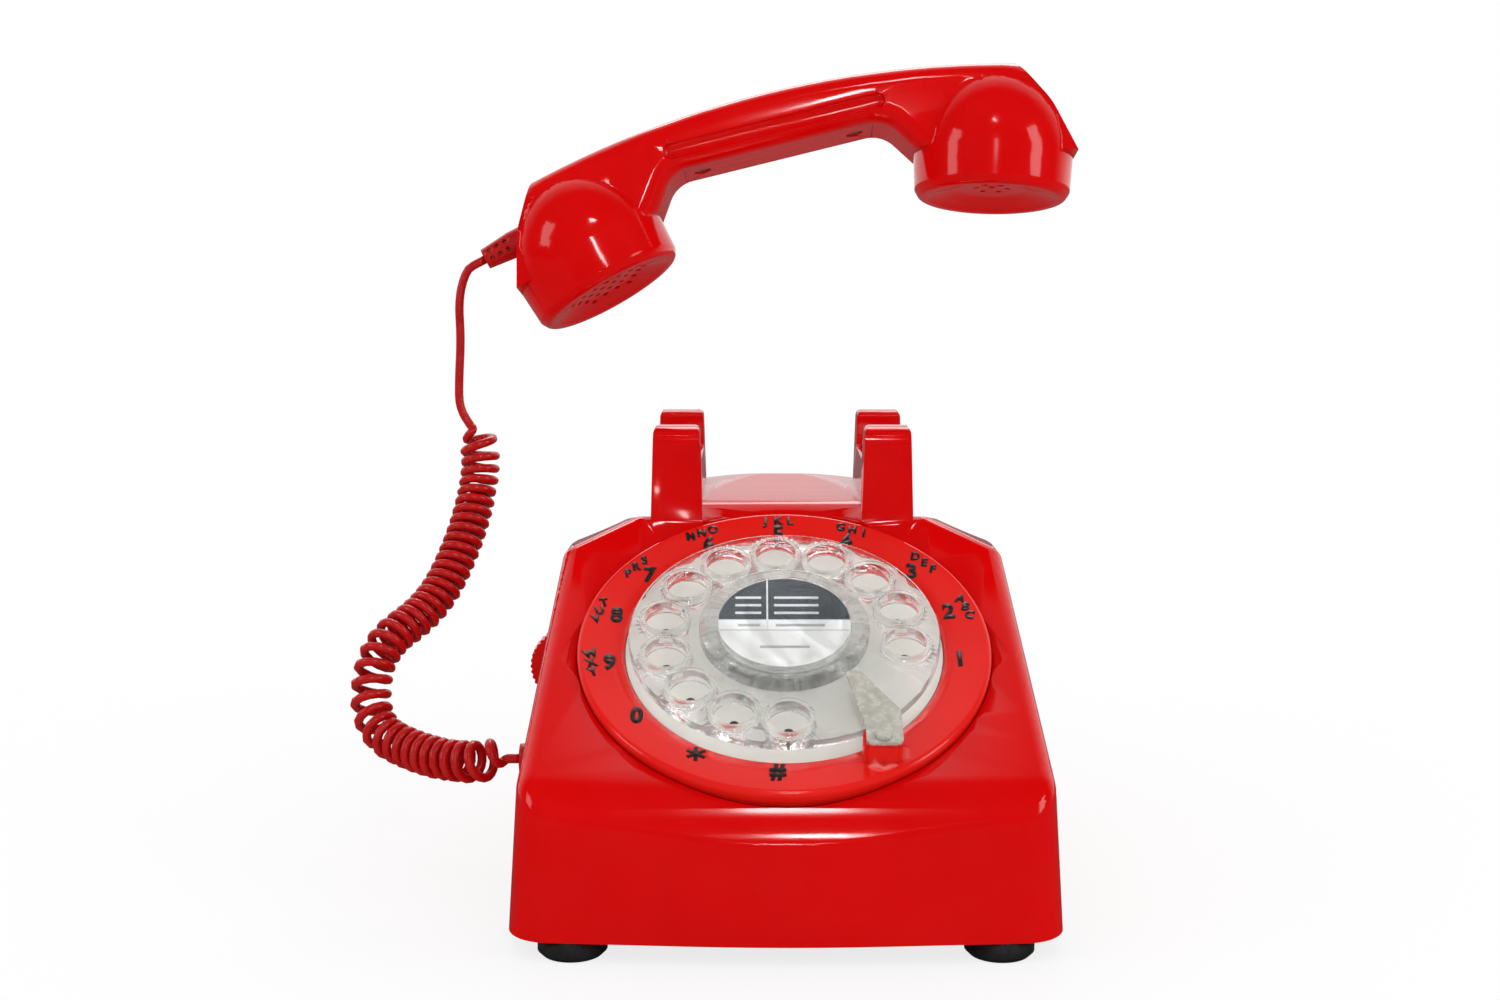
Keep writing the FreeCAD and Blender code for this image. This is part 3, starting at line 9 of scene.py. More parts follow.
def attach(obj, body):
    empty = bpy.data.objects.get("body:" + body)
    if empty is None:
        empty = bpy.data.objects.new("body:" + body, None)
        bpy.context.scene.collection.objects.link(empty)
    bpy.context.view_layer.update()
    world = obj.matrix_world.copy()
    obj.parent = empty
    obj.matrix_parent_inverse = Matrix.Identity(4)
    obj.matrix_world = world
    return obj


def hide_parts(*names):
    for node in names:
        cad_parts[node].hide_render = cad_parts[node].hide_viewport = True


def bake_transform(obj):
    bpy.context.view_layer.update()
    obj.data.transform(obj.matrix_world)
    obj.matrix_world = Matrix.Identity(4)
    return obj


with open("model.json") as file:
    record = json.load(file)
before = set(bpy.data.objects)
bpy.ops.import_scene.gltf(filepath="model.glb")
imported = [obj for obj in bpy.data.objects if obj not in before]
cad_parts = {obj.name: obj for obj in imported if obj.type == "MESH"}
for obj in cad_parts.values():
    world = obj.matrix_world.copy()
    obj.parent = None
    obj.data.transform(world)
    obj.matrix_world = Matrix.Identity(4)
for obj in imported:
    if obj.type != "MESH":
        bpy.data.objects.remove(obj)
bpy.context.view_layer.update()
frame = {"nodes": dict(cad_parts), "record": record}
nodes = frame["nodes"]
scene = bpy.context.scene
scene.view_settings.view_transform = "Standard"

# Lengths are in metres.
# The base's middle stands this far to the right of the origin.
BASE_X = 0.0028
# The dial's own frame: its centre on the ring's rim plane, and its lean.
DIAL_CENTRE = Vector((BASE_X, -0.0377, 0.0921))
DIAL_LEAN = math.radians(29.7)
DIAL = Matrix.Translation(DIAL_CENTRE) @ Matrix.Rotation(DIAL_LEAN, 4, "X")
# The number ring's inner and outer radius, and how far its inner edge lies below its rim.
RING_IN, RING_OUT = 0.0572, 0.0721
RING_DIP = 0.0014
# The dial plate's top, and the circle, the angles in degrees and the count of the finger holes at rest.
PLATE_LEVEL = -0.0036
HOLE_CIRCLE = 0.0422
HOLE_FIRST, HOLE_STEP = -8.0, 25.4
HOLES = 12

# Most of a noise lies between these two values, so colours and gloss are laid out between them.
NOISE_LOW, NOISE_HIGH = 0.3, 0.7
COLOUR_DETAIL, GLOSS_DETAIL, GRAIN_DETAIL = 3.0, 4.0, 2.0
GRAIN_DEPTH = 0.0002


def link(tree, a, b):
    tree.links.new(a, b)


def maths(tree, kind, *values):
    """A sum on sockets and plain numbers."""
    node = tree.nodes.new("ShaderNodeMath")
    node.operation = kind
    for socket, value in zip(node.inputs, values):
        if isinstance(value, float):
            socket.default_value = value
        else:
            link(tree, value, socket)
    return node.outputs["Value"]


def laid_out(tree, value, low, high, to_low, to_high, kind="SMOOTHSTEP"):
    """A value taken from one range over to another."""
    node = tree.nodes.new("ShaderNodeMapRange")
    node.interpolation_type = kind
    for name, number in (("From Min", low), ("From Max", high), ("To Min", to_low), ("To Max", to_high)):
        node.inputs[name].default_value = number
    link(tree, value, node.inputs["Value"])
    return node.outputs["Result"]


def mottle(tree, scale, detail=COLOUR_DETAIL, stretch=(1, 1, 1)):
    """A noise over the piece's own coordinates."""
    place = tree.nodes.new("ShaderNodeTexCoord")
    turn = tree.nodes.new("ShaderNodeMapping")
    turn.inputs["Scale"].default_value = stretch
    noise = tree.nodes.new("ShaderNodeTexNoise")
    noise.inputs["Scale"].default_value = scale
    noise.inputs["Detail"].default_value = detail
    link(tree, place.outputs["Object"], turn.inputs["Vector"])
    link(tree, turn.outputs["Vector"], noise.inputs["Vector"])
    return noise.outputs["Fac"]


def between(tree, noise, low, high):
    """Two colours, one for each end of a noise."""
    ramp = tree.nodes.new("ShaderNodeValToRGB")
    ends = ramp.color_ramp.elements
    for end, position, colour in ((ends[0], NOISE_LOW, low), (ends[1], NOISE_HIGH, high)):
        end.position = position
        end.color = (*colour, 1)
    link(tree, noise, ramp.inputs["Fac"])
    return ramp.outputs["Color"]


def spread(tree, noise, low, high):
    """A noise laid out between two numbers."""
    return laid_out(tree, noise, NOISE_LOW, NOISE_HIGH, low, high, "LINEAR")


def material(name):
    m = bpy.data.materials.new(name)
    m.use_nodes = True
    return m, m.node_tree, m.node_tree.nodes["Principled BSDF"]


def finish(name, low, high, rough, colour_scale, rough_scale, grain=0.0, grain_scale=900.0,
           stretch=(1, 1, 1), **sockets):
    """A finish whose colour, gloss and grain vary over the surface."""
    m, tree, shader = material(name)
    colour = between(tree, mottle(tree, colour_scale, COLOUR_DETAIL, stretch), low, high)
    link(tree, colour, shader.inputs["Base Color"])
    gloss = spread(tree, mottle(tree, rough_scale, GLOSS_DETAIL, stretch), *rough)
    link(tree, gloss, shader.inputs["Roughness"])
    if grain:
        bump = tree.nodes.new("ShaderNodeBump")
        bump.inputs["Strength"].default_value = grain
        bump.inputs["Distance"].default_value = GRAIN_DEPTH
        link(tree, mottle(tree, grain_scale, GRAIN_DETAIL, stretch), bump.inputs["Height"])
        link(tree, bump.outputs["Normal"], shader.inputs["Normal"])
    for socket, value in sockets.items():
        shader.inputs[socket.replace("_", " ").title().replace("Ior", "IOR")].default_value = value
    return m


def let_light_through(look, body, share):
    """Lamps shine through the clear piece on to what lies behind it."""
    tree = look.node_tree
    path = tree.nodes.new("ShaderNodeLightPath")
    alpha = maths(tree, "MULTIPLY_ADD", path.outputs["Is Shadow Ray"], -share, body)
    link(tree, alpha, tree.nodes["Principled BSDF"].inputs["Alpha"])


# Each finish has its two colours, its range of roughness, the scales of both, and its grain.
RED = finish("gloss_red_moulding", (0.59, 0.0008, 0.0010), (0.63, 0.0012, 0.0014), (0.08, 0.12),
             25.0, 60.0, 0.010, 260.0, ior=1.5)
RING_RED = finish("bright_red_ring", (0.68, 0.0080, 0.0050), (0.73, 0.0110, 0.0070), (0.12, 0.18),
                  25.0, 60.0, 0.010, 260.0, ior=1.5)
CORD_RED = finish("red_cord_jacket", (0.40, 0.0022, 0.0024), (0.48, 0.0030, 0.0032), (0.20, 0.30),
                  120.0, 200.0, 0.05, 1500.0)
CLEAR = finish("clear_moulding", (0.96, 0.98, 0.98), (0.99, 1.0, 1.0), (0.01, 0.03),
               80.0, 120.0, ior=1.47, transmission_weight=1.0)
LENS = finish("clear_card_lens", (0.98, 0.99, 0.99), (0.99, 1.0, 1.0), (0.010, 0.014),
              80.0, 120.0, ior=1.2, transmission_weight=1.0)
let_light_through(CLEAR, 0.82, 0.74)
let_light_through(LENS, 0.5, 0.49)
PLATE = finish("pale_dial_plate", (0.68, 0.67, 0.61), (0.74, 0.72, 0.66), (0.40, 0.55),
               90.0, 160.0, 0.05, 1200.0)
WHITE = finish("white_button_moulding", (0.78, 0.79, 0.80), (0.84, 0.84, 0.84), (0.3, 0.4),
               90.0, 160.0, 0.03)
PRINT = finish("black_print", (0.006, 0.006, 0.007), (0.012, 0.011, 0.012), (0.35, 0.5),
               300.0, 500.0)
BRIGHT = finish("bright_stop_metal", (0.46, 0.45, 0.38), (0.66, 0.64, 0.57), (0.18, 0.32),
                420.0, 420.0, 0.20, 900.0, metallic=0.3)
RUBBER = finish("black_foot_rubber", (0.006, 0.006, 0.006), (0.012, 0.012, 0.012), (0.45, 0.65),
                150.0, 220.0, 0.25, 1400.0)
STEEL = finish("brushed_steel_strip", (0.42, 0.42, 0.43), (0.52, 0.52, 0.53), (0.25, 0.42),
               120.0, 300.0, 0.1, 900.0, (1, 12, 1), metallic=1.0)
BRASS = finish("turned_brass", (0.55, 0.40, 0.16), (0.66, 0.50, 0.22), (0.2, 0.35),
               150.0, 300.0, 0.06, 900.0, (1, 1, 10), metallic=1.0)
BLACK_METAL = finish("black_base_paint", (0.012, 0.012, 0.013), (0.020, 0.020, 0.021), (0.4, 0.55),
                     80.0, 160.0, 0.2, 1100.0)
NYLON = finish("cream_gear_nylon", (0.68, 0.64, 0.54), (0.76, 0.72, 0.62), (0.4, 0.5),
               120.0, 200.0, 0.05)
BOARD = finish("green_board", (0.012, 0.09, 0.03), (0.02, 0.13, 0.045), (0.3, 0.45),
               220.0, 300.0, 0.08)
BLACK = finish("black_inner_plastic", (0.012, 0.012, 0.012), (0.022, 0.022, 0.022), (0.4, 0.55),
               120.0, 200.0, 0.1)
CONE = finish("speaker_paper", (0.03, 0.028, 0.026), (0.05, 0.046, 0.042), (0.7, 0.85),
              300.0, 400.0, 0.3)
IRON = finish("dark_iron", (0.05, 0.05, 0.052), (0.08, 0.08, 0.082), (0.45, 0.6),
              150.0, 260.0, 0.2, metallic=1.0)

# The card's print, in the dial's plane: each bar's colour and its left, right, low and high edge. An edge that
# lies past the card stands for none. The first bar is the dark upper field, and the later ones lie over it.
CARD_DARK = (0.055, 0.070, 0.080)
CARD_PALE = (0.75, 0.77, 0.78)
CARD_GREY = (0.42, 0.44, 0.46)
PAST = 1.0
BAR = 0.0012
CARD_BARS = [(CARD_DARK, -PAST, PAST, 0.0012, PAST),
             (CARD_PALE, -0.0062, -0.0056, -0.0040, PAST),
             (CARD_PALE, -PAST, PAST, 0.0010, 0.0014),
             (CARD_GREY, -PAST, PAST, -0.0043, -0.0039)]
for low in (0.0042, 0.0082, 0.0122):
    CARD_BARS.append((CARD_PALE, -0.0035, 0.0120, low, low + BAR))
    CARD_BARS.append((CARD_PALE, -0.0170, -0.0080, low, low + BAR))
CARD_BARS.append((CARD_GREY, -0.0160, -0.0085, -0.0022, -0.0010))
CARD_BARS.append((CARD_GREY, -0.0030, 0.0140, -0.0022, -0.0010))
CARD_BARS.append((CARD_GREY, -0.0085, 0.0085, -0.0132, -0.0120))


def card_finish():
    """The card under the lens: a dark upper field with pale rules, and a plain white lower field."""
    m, tree, shader = material("printed_card")
    place = tree.nodes.new("ShaderNodeTexCoord")
    turn = tree.nodes.new("ShaderNodeMapping")
    turn.vector_type = "TEXTURE"
    turn.inputs["Location"].default_value = DIAL_CENTRE
    turn.inputs["Rotation"].default_value = (DIAL_LEAN, 0, 0)
    link(tree, place.outputs["Object"], turn.inputs["Vector"])
    split = tree.nodes.new("ShaderNodeSeparateXYZ")
    link(tree, turn.outputs["Vector"], split.inputs["Vector"])

    def band(value, low, high):
        return maths(tree, "SUBTRACT", maths(tree, "GREATER_THAN", value, low),
                     maths(tree, "GREATER_THAN", value, high))

    look = between(tree, mottle(tree, 900.0), (0.92, 0.92, 0.91), (0.96, 0.96, 0.95))
    for colour, left, right, low, high in CARD_BARS:
        inside = maths(tree, "MULTIPLY", band(split.outputs["X"], left, right),
                       band(split.outputs["Y"], low, high))
        over = tree.nodes.new("ShaderNodeMix")
        over.data_type = "RGBA"
        link(tree, inside, over.inputs["Factor"])
        link(tree, look, over.inputs["A"])
        over.inputs["B"].default_value = (*colour, 1)
        look = over.outputs["Result"]
    link(tree, look, shader.inputs["Base Color"])
    link(tree, spread(tree, mottle(tree, 400.0), 0.45, 0.6), shader.inputs["Roughness"])
    return m


CARD = card_finish()
FINISHES = {
    RING_RED: ["number_ring"],
    RED: ["housing", "handset_body", "handset_grip", "ear_cap", "mouth_cap", "volume_wheel"],
    CORD_RED: ["handset_cord", "cord_boot", "cord_plug"],
    CLEAR: ["finger_wheel", "card_bezel"],
    LENS: ["card_lens"],
    PLATE: ["dial_plate"],
    WHITE: ["centre_button", "plunger_left", "plunger_right"],
    CARD: ["number_card"],
    BRIGHT: ["finger_stop", "stop_screw"],
    STEEL: ["base_screws", "dial_screws", "board_screws", "grip_screws", "dial_frame", "dial_bridge",
            "switch_bracket", "button_spring", "return_spring", "board_standoffs", "hook_bar"],
    BRASS: ["dial_shaft", "dial_bush", "pulse_contacts"],
    RUBBER: ["foot_front_left", "foot_front_right", "foot_rear_left", "foot_rear_right"],
    BLACK_METAL: ["base_plate"],
    NYLON: ["dial_gear", "governor_pinion"],
    BOARD: ["main_board"],
    BLACK: ["speaker_switch", "hook_switch", "line_socket", "handset_socket", "volume_pot", "receiver",
            "microphone"],
    CONE: ["speaker_cone"],
    IRON: ["loudspeaker", "handset_weight"],
}
for look, names in FINISHES.items():
    for name in names:
        nodes[name].data.materials.clear()
        nodes[name].data.materials.append(look)

BODY_OF = {n: body for body, members in frame["record"]["behaviour"]["bodies"].items() for n in members}
# Facets that meet at less than this angle stand for one smooth surface.
SMOOTH_BELOW = math.radians(28.0)
POLISHED = ["housing", "number_ring", "handset_body", "handset_grip", "ear_cap", "mouth_cap", "volume_wheel",
            "cord_boot", "cord_plug", "finger_wheel", "card_bezel", "card_lens", "dial_plate",
            "plunger_left", "plunger_right", "finger_stop", "stop_screw",
            "foot_front_left", "foot_front_right", "foot_rear_left", "foot_rear_right"]


def placed(name, data):
    """An object that shows the data, in the scene."""
    o = bpy.data.objects.new(name, data)
    scene.collection.objects.link(o)
    return o


def polished(node):
    """The node's own shape with its facets shaded as the smooth moulding they stand for."""
    mesh = nodes[node].data.copy()
    mesh.name = node + "_moulding"
    work = bmesh.new()
    work.from_mesh(mesh)
    bmesh.ops.remove_doubles(work, verts=work.verts, dist=2e-6)
    bmesh.ops.dissolve_degenerate(work, edges=work.edges, dist=1e-7)
    work.to_mesh(mesh)
    work.free()
    for p in mesh.polygons:
        p.use_smooth = True
    mesh.set_sharp_from_angle(angle=SMOOTH_BELOW)
    piece = placed(node + "_moulding", mesh)
    even = piece.modifiers.new("even_shading", "WEIGHTED_NORMAL")
    even.keep_sharp = True
    even.weight = 80
    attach(piece, BODY_OF[node])
    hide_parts(node)


for name in POLISHED:
    polished(name)

# Curly cord: the thickness of its wire, the radius of its curls, and its route from the handset to the plug.
WIRE = 0.0033
CURL = 0.0059
ROUTE = [Vector((x + BASE_X, y, z)) for x, y, z in (
    (-0.113900, 0.056200, 0.221410), (-0.116821, 0.055940, 0.219896), (-0.121246, 0.055547, 0.217602),
    (-0.1244, 0.0546, 0.2065), (-0.1236, 0.0538, 0.1915), (-0.1246, 0.0528, 0.1750),
    (-0.1246, 0.0520, 0.1640), (-0.1190, 0.0510, 0.1560), (-0.1160, 0.0500, 0.1480),
    (-0.1170, 0.0450, 0.1320), (-0.1220, 0.0310, 0.1120), (-0.1310, 0.0150, 0.0930),
    (-0.1495, -0.0040, 0.0820), (-0.1500, -0.0155, 0.0550), (-0.1280, -0.0320, 0.0495),
    (-0.1090, -0.0450, 0.0505), (-0.1003, -0.0480, 0.0530), (-0.0946, -0.0480, 0.0530),
    (-0.0913, -0.0480, 0.0530))]
# The curls start near one point, stop just before the plug, and open a little at a second point.
CURL_FROM = Vector((BASE_X - 0.1200, 0.0513, 0.1580))
BEND_AT = Vector((BASE_X - 0.1480, -0.0120, 0.0640))
STRAIGHT_END = 0.004
GROW_RUN = 0.007
# The pitch of the curls, and how much it opens over what length at the bend, at both ends and towards the plug.
PITCH = 0.0043
BEND_OPEN, BEND_RUN = 0.002, 0.020
END_OPEN, END_RUN = 0.004, 0.009
PLUG_OPEN, PLUG_RUN = 0.0012, 0.040
# The drawn line has a point at least once in each of these steps of turn and of length.
TURN_STEP = math.pi / 10
LINE_STEP = 0.0025
CORD_SIDES = 14


def smooth_line(points):
    """Points read from a smooth spline whose control points are given."""
    curve = bpy.data.curves.new("cord_route", "CURVE")
    curve.dimensions = "3D"
    spline = curve.splines.new("NURBS")
    spline.points.add(len(points) - 1)
    for p, q in zip(spline.points, points):
        p.co = (*q, 1)
    spline.order_u = 3
    spline.use_endpoint_u = True
    spline.resolution_u = 96
    guide = placed("cord_route", curve)
    mesh = bpy.data.meshes.new_from_object(guide)
    line = [v.co.copy() for v in mesh.vertices]
    bpy.data.objects.remove(guide)
    bpy.data.meshes.remove(mesh)
    bpy.data.curves.remove(curve)
    return line


def along(line):
    """Each point of a line with two directions square to the line, which turn as little as they can."""
    side = None
    for i, p in enumerate(line):
        t = (line[min(i + 1, len(line) - 1)] - line[max(i - 1, 0)]).normalized()
        side = t.cross(Vector((0, 1, 0))) if side is None else side
        side = (side - t * side.dot(t)).normalized()
        yield p, side, t.cross(side)


def bump_at(x, middle, run):
    return math.exp(-((x - middle) / run) ** 2)


def curled(line):
    """The cord's own centre line, curled about a smooth line."""
    run = [0.0]
    for a, b in zip(line, line[1:]):
        run.append(run[-1] + (b - a).length)
    start = run[min(range(len(line)), key=lambda i: (line[i] - CURL_FROM).length)]
    bend = run[min(range(len(line)), key=lambda i: (line[i] - BEND_AT).length)]
    end = run[-1] - STRAIGHT_END
    phase = 0.0
    path = []
    for i, (p, side, across) in enumerate(along(line)):
        x = run[i]
        if i and start < x < end:
            pitch = PITCH + BEND_OPEN * bump_at(x, bend, BEND_RUN)
            pitch += END_OPEN * (bump_at(x, start, END_RUN) + bump_at(x, end, END_RUN))
            pitch += PLUG_OPEN * min(1.0, max(0.0, (x - end + PLUG_RUN) / PLUG_RUN))
            phase += 2 * math.pi * (x - run[i - 1]) / pitch
        q = min(1.0, max(0.0, min(x - start, end - x) / GROW_RUN))
        r = CURL * q * q * (3 - 2 * q)
        path.append((p + side * (r * math.cos(phase)) + across * (r * math.sin(phase)), phase))
    kept = [path[0]]
    for here in path[1:-1]:
        if here[1] - kept[-1][1] >= TURN_STEP or (here[0] - kept[-1][0]).length > LINE_STEP:
            kept.append(here)
    kept.append(path[-1])
    return [p for p, _ in kept]


def tube(name, path, radius, sides):
    """A closed round tube about a line."""
    work = bmesh.new()
    turns = [2 * math.pi * k / sides for k in range(sides)]
    rings = []
    for p, side, across in along(path):
        rings.append([work.verts.new(p + (side * math.cos(a) + across * math.sin(a)) * radius)
                      for a in turns])
    for a, b in zip(rings, rings[1:]):
        for k in range(sides):
            work.faces.new((a[k], a[(k + 1) % sides], b[(k + 1) % sides], b[k]))
    work.faces.new(rings[0][::-1])
    work.faces.new(rings[-1])
    bmesh.ops.recalc_face_normals(work, faces=work.faces)
    mesh = bpy.data.meshes.new(name)
    work.to_mesh(mesh)
    work.free()
    for f in mesh.polygons:
        f.use_smooth = True
    return placed(name, mesh)


cord_path = curled(smooth_line(ROUTE))
cord_length = sum((b - a).length for a, b in zip(cord_path, cord_path[1:]))
cord = tube("curly_cord", cord_path, WIRE / 2, CORD_SIDES)
cord.data.materials.append(CORD_RED)
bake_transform(cord)
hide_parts("handset_cord")

# Black print on the ring: the angle in degrees of each figure, and the letters outside it.
FIGURES = [(-7.0, "1", ""), (16.4, "2", "ABC"), (40.0, "3", "DEF"), (67.2, "4", "GHI"),
           (91.4, "5", "JKL"), (116.4, "6", "MNO"), (142.6, "7", "PRS"), (165.6, "8", "TUV"),
           (188.8, "9", "WXY"), (215.4, "0", ""), (241.0, "*", ""), (267.4, "#", "")]
FIGURE_R, LETTER_R = 0.0610, 0.0674
FIGURE_HEIGHT, STAR_HEIGHT, LETTER_HEIGHT = 0.0071, 0.0060, 0.0038
FIGURE_WEIGHT, STAR_WEIGHT, LETTER_WEIGHT = 0.00050, 0.00046, 0.00033
# A star is three strokes. A letter leans by this share of its place's own lean, and a group that starts past
# this angle runs downwards.
STAR_STROKES = (0, 60, 120)
LETTER_STEP = 3.9
LETTER_LEAN = 0.22
DOWN_PAST = 160.0
# The type is narrowed, and its capitals are this share of its size.
NARROW = 0.8
CAPITAL = 0.70
INK_LIFT, INK = 0.00008, 0.00012


def ring_level(r):
    """The height of the ring's sloped top at a radius."""
    return -RING_DIP + (r - RING_IN) / (RING_OUT - RING_IN) * RING_DIP


def written(work, text, height, r, angle, weight, lean):
    """One character on the ring at that radius and angle, leaning by an angle."""
    curve = bpy.data.curves.new("figure", "FONT")
    curve.body = text
    curve.size = height / CAPITAL
    curve.align_x = "CENTER"
    curve.offset = weight
    curve.resolution_u = 4
    o = placed("figure", curve)
    mesh = bpy.data.meshes.new_from_object(o)
    a = math.radians(angle)
    spot = Vector((r * math.cos(a), r * math.sin(a)))
    spin = math.radians(lean)
    for v in mesh.vertices:
        x, y = NARROW * v.co.x, v.co.y - height / 2
        px = spot.x + x * math.cos(spin) - y * math.sin(spin)
        py = spot.y + x * math.sin(spin) + y * math.cos(spin)
        v.co = DIAL @ Vector((px, py, ring_level(math.hypot(px, py)) + INK_LIFT))
    work.from_mesh(mesh)
    bpy.data.objects.remove(o)
    bpy.data.meshes.remove(mesh)
    bpy.data.curves.remove(curve)


def print_piece(name, rows):
    """All the characters of one kind as one piece of thin ink."""
    work = bmesh.new()
    for row in rows:
        written(work, *row)
    bmesh.ops.remove_doubles(work, verts=work.verts, dist=1e-7)
    mesh = bpy.data.meshes.new(name)
    work.to_mesh(mesh)
    work.free()
    mesh.materials.append(PRINT)
    o = placed(name, mesh)
    ink = o.modifiers.new("ink_thickness", "SOLIDIFY")
    ink.thickness = INK
    ink.offset = 1.0
    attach(o, "base")


figure_rows = []
star_rows = []
letter_rows = []
for angle, figure, group in FIGURES:
    if figure == "*":
        for lean in STAR_STROKES:
            star_rows.append(("l", STAR_HEIGHT, FIGURE_R, angle, STAR_WEIGHT, lean))
    else:
        figure_rows.append((figure, FIGURE_HEIGHT, FIGURE_R, angle, FIGURE_WEIGHT, 0.0))
    way = 1 if angle > DOWN_PAST else -1
    for place, letter in enumerate(group):
        at = angle + way * (place - 1) * LETTER_STEP
        letter_rows.append((letter, LETTER_HEIGHT, LETTER_R, at, LETTER_WEIGHT, LETTER_LEAN * (at - 90.0)))
print_piece("ring_figures", figure_rows + star_rows)
print_piece("ring_letters", letter_rows)

# Black dots on the dial plate, one under each finger hole and a little up the slope from its middle.
DOT_R, DOT_HEIGHT, DOT_SIDES = 0.0016, 0.0002, 28
DOT_SHIFT = 0.0014


def dot_tree():
    """Round dots on a circle of given radius, first angle and step."""
    tree = bpy.data.node_groups.new("dial_dots", "GeometryNodeTree")
    face = tree.interface
    for name, kind, value in (("Count", "NodeSocketInt", HOLES),
                              ("Circle Radius", "NodeSocketFloat", HOLE_CIRCLE),
                              ("Dot Radius", "NodeSocketFloat", DOT_R),
                              ("Dot Height", "NodeSocketFloat", DOT_HEIGHT),
                              ("Level", "NodeSocketFloat", PLATE_LEVEL),
                              ("First Angle", "NodeSocketFloat", math.radians(HOLE_FIRST)),
                              ("Step Angle", "NodeSocketFloat", math.radians(HOLE_STEP))):
        face.new_socket(name, in_out="INPUT", socket_type=kind).default_value = value
    face.new_socket("Geometry", in_out="OUTPUT", socket_type="NodeSocketGeometry")
    given = tree.nodes.new("NodeGroupInput").outputs
    out = tree.nodes.new("NodeGroupOutput")
    points = tree.nodes.new("GeometryNodePoints")
    index = tree.nodes.new("GeometryNodeInputIndex")
    link(tree, given["Count"], points.inputs["Count"])
    angle = maths(tree, "ADD", maths(tree, "MULTIPLY", index.outputs["Index"], given["Step Angle"]),
                  given["First Angle"])
    place = tree.nodes.new("ShaderNodeCombineXYZ")
    for axis, kind in (("X", "COSINE"), ("Y", "SINE")):
        reach = maths(tree, "MULTIPLY", maths(tree, kind, angle), given["Circle Radius"])
        link(tree, reach, place.inputs[axis])
    link(tree, given["Level"], place.inputs["Z"])
    link(tree, place.outputs["Vector"], points.inputs["Position"])
    dot = tree.nodes.new("GeometryNodeMeshCylinder")
    dot.inputs["Vertices"].default_value = DOT_SIDES
    link(tree, given["Dot Radius"], dot.inputs["Radius"])
    link(tree, given["Dot Height"], dot.inputs["Depth"])
    copies = tree.nodes.new("GeometryNodeInstanceOnPoints")
    link(tree, points.outputs["Points"], copies.inputs["Points"])
    link(tree, dot.outputs["Mesh"], copies.inputs["Instance"])
    real = tree.nodes.new("GeometryNodeRealizeInstances")
    paint = tree.nodes.new("GeometryNodeSetMaterial")
    paint.inputs["Material"].default_value = PRINT
    link(tree, copies.outputs["Instances"], real.inputs["Geometry"])
    link(tree, real.outputs["Geometry"], paint.inputs["Geometry"])
    link(tree, paint.outputs["Geometry"], out.inputs["Geometry"])
    return tree


def grown(name, tree, place, body):
    """A plain mesh grown by a node tree and set in place."""
    seed = placed(name + "_seed", bpy.data.meshes.new(name + "_seed"))
    seed.modifiers.new("grow", "NODES").node_group = tree
    bpy.context.view_layer.update()
    mesh = bpy.data.meshes.new_from_object(seed.evaluated_get(bpy.context.evaluated_depsgraph_get()))
    bpy.data.objects.remove(seed)
    mesh.name = name
    mesh.transform(place)
    piece = placed(name, mesh)
    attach(piece, body)


grown("dial_dots", dot_tree(), DIAL @ Matrix.Translation((0, DOT_SHIFT, 0)), "base")

# Stage, light and camera.
FLOOR_HALF = 6.0
FLOOR_GREY = 0.86
ROOM_GREY = 0.90
corners = [(x * FLOOR_HALF, y * FLOOR_HALF, 0) for x, y in ((-1, -1), (1, -1), (1, 1), (-1, 1))]
floor_mesh = bpy.data.meshes.new("floor")
floor_mesh.from_pydata(corners, [], [(0, 1, 2, 3)])
floor = placed("floor", floor_mesh)


def mixed(tree, share, first, second):
    """Two shaders mixed by a share."""
    mix = tree.nodes.new("ShaderNodeMixShader")
    for socket, value in zip(mix.inputs, (share, first, second)):
        link(tree, value, socket)
    return mix.outputs["Shader"]


def floor_finish():
    """A matt floor that runs out into the white behind it, and looks dim where the object mirrors it."""
    m = bpy.data.materials.new("pale_floor")
    m.use_nodes = True
    tree = m.node_tree
    tree.nodes.clear()
    out = tree.nodes.new("ShaderNodeOutputMaterial")
    matt = tree.nodes.new("ShaderNodeBsdfDiffuse")
    matt.inputs["Color"].default_value = (FLOOR_GREY, FLOOR_GREY, FLOOR_GREY, 1)
    place = tree.nodes.new("ShaderNodeTexCoord")
    split = tree.nodes.new("ShaderNodeSeparateXYZ")
    link(tree, place.outputs["Object"], split.inputs["Vector"])
    far = tree.nodes.new("ShaderNodeVectorMath")
    far.operation = "LENGTH"
    link(tree, place.outputs["Object"], far.inputs[0])
    path = tree.nodes.new("ShaderNodeLightPath")
    seen = tree.nodes.new("ShaderNodeEmission")
    mirrored = tree.nodes.new("ShaderNodeEmission")
    dim = laid_out(tree, split.outputs["Y"], -0.1, 0.6, 0.05, 0.15)
    link(tree, dim, mirrored.inputs["Strength"])
    white = laid_out(tree, far.outputs["Value"], 0.15, 0.75, 0.80, 1.0)
    share = maths(tree, "MULTIPLY", path.outputs["Is Camera Ray"], white)
    look = mixed(tree, share, matt.outputs["BSDF"], seen.outputs["Emission"])
    look = mixed(tree, path.outputs["Is Glossy Ray"], look, mirrored.outputs["Emission"])
    link(tree, look, out.inputs["Surface"])
    return m


floor.data.materials.append(floor_finish())


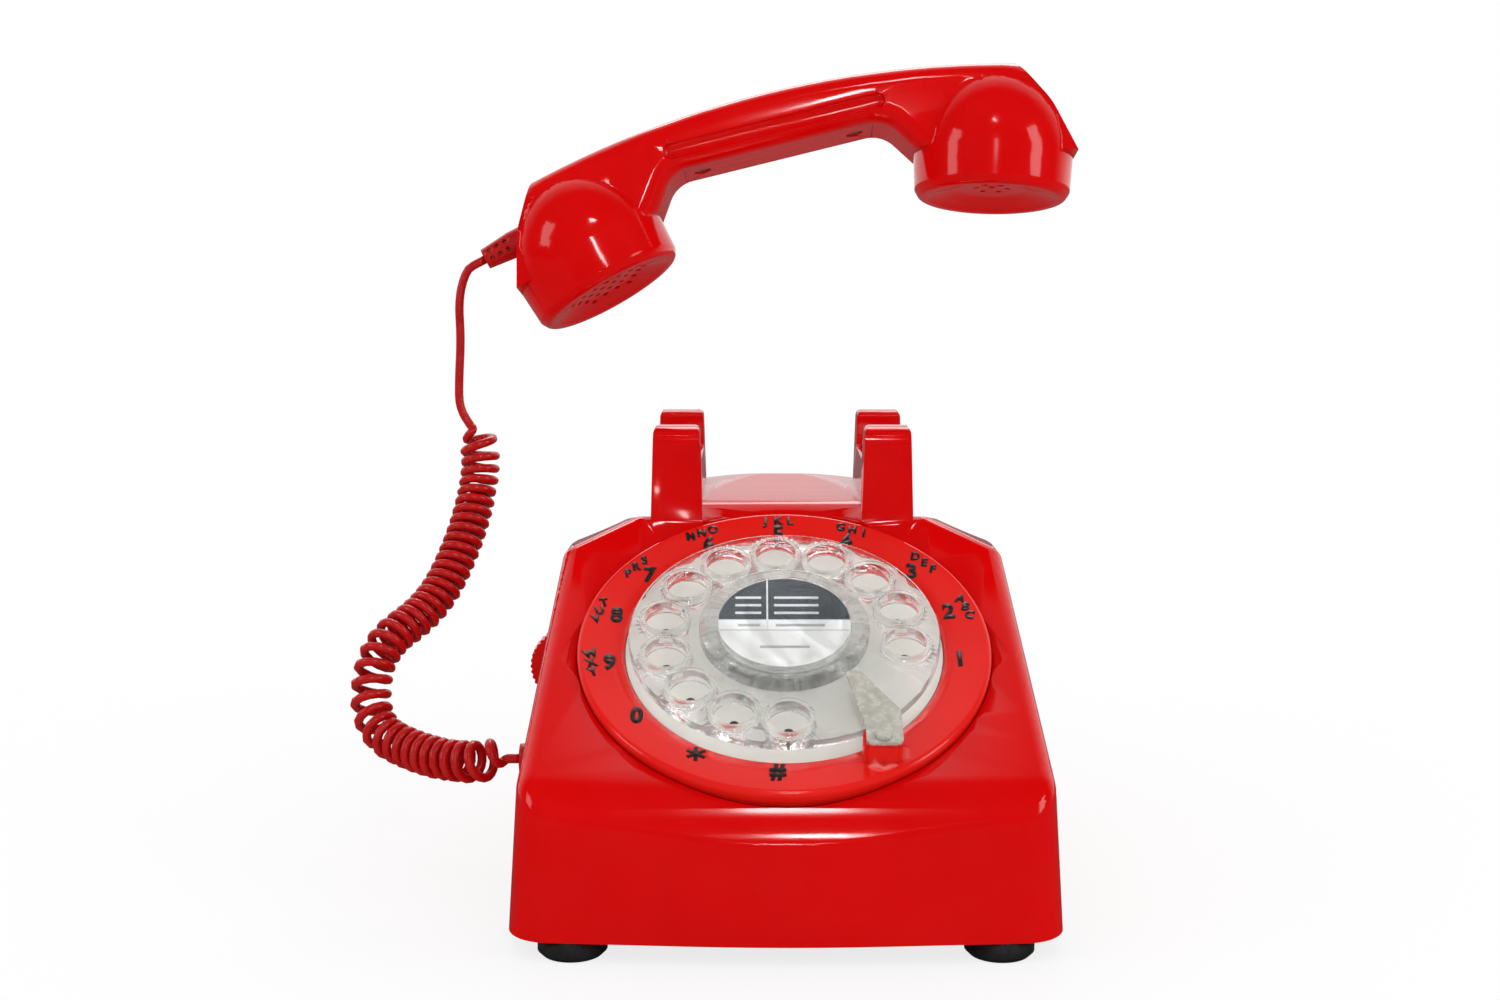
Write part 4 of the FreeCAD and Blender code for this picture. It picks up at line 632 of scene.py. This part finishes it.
def studio():
    """White behind the object, a dim room in front of it, and an even light from all round."""
    world = bpy.data.worlds.new("studio")
    scene.world = world
    world.use_nodes = True
    tree = world.node_tree
    tree.nodes.clear()
    out = tree.nodes.new("ShaderNodeOutputWorld")
    even = tree.nodes.new("ShaderNodeBackground")
    even.inputs["Color"].default_value = (ROOM_GREY, ROOM_GREY, ROOM_GREY, 1)
    backdrop = tree.nodes.new("ShaderNodeBackground")
    backdrop.inputs["Color"].default_value = (1, 1, 1, 1)
    place = tree.nodes.new("ShaderNodeTexCoord")
    split = tree.nodes.new("ShaderNodeSeparateXYZ")
    link(tree, place.outputs["Generated"], split.inputs["Vector"])
    path = tree.nodes.new("ShaderNodeLightPath")
    room = laid_out(tree, split.outputs["Y"], 0.05, 0.70, 0.012, 1.0)
    bare = maths(tree, "MAXIMUM", path.outputs["Is Camera Ray"], path.outputs["Is Transmission Ray"])
    link(tree, maths(tree, "MAXIMUM", bare, room), backdrop.inputs["Strength"])
    seen = maths(tree, "MAXIMUM", bare, path.outputs["Is Glossy Ray"])
    look = mixed(tree, seen, even.outputs["Background"], backdrop.outputs["Background"])
    link(tree, look, out.inputs["Surface"])


studio()

# Each lamp's place, the point it faces, its width, height and power.
LAMPS = [("key_softbox", (0.03, -0.70, 1.15), (0, -0.1, 0.05), 0.10, 0.07, 0.6),
         ("front_softbox", (0.05, -1.05, 0.73), (0, -0.05, 0.15), 0.07, 0.10, 0.8),
         ("low_softbox", (0.02, -1.26, 0.375), (0, -0.1, 0.05), 0.10, 0.024, 0.24),
         ("left_softbox", (-1.3, -0.5, 0.8), (0, 0, 0.15), 0.4, 0.7, 2.0),
         ("right_softbox", (1.2, -0.6, 0.7), (0, 0, 0.15), 0.4, 0.8, 3.0),
         ("top_softbox", (0, 1.3, 1.3), (0, 0, 0.1), 1.0, 0.5, 6.0)]
for name, place, aim, width, height, power in LAMPS:
    light = bpy.data.lights.new(name, "AREA")
    light.shape = "RECTANGLE"
    light.size = width
    light.size_y = height
    light.energy = power
    lamp = placed(name, light)
    lamp.location = place
    lamp.rotation_euler = (Vector(aim) - Vector(place)).to_track_quat("-Z", "Y").to_euler()

# The camera looks a little down and a little to the left, by these angles in radians.
CAMERA_DOWN, CAMERA_LEFT = 0.150, 0.002
camera_data = bpy.data.cameras.new("camera")
camera_data.sensor_width = 36.0
camera_data.lens = 48.0
camera = placed("camera", camera_data)
camera.location = (BASE_X - 0.01053, -0.7185, 0.24482)
camera.rotation_euler = (math.pi / 2 - CAMERA_DOWN, 0, CAMERA_LEFT)
scene.camera = camera
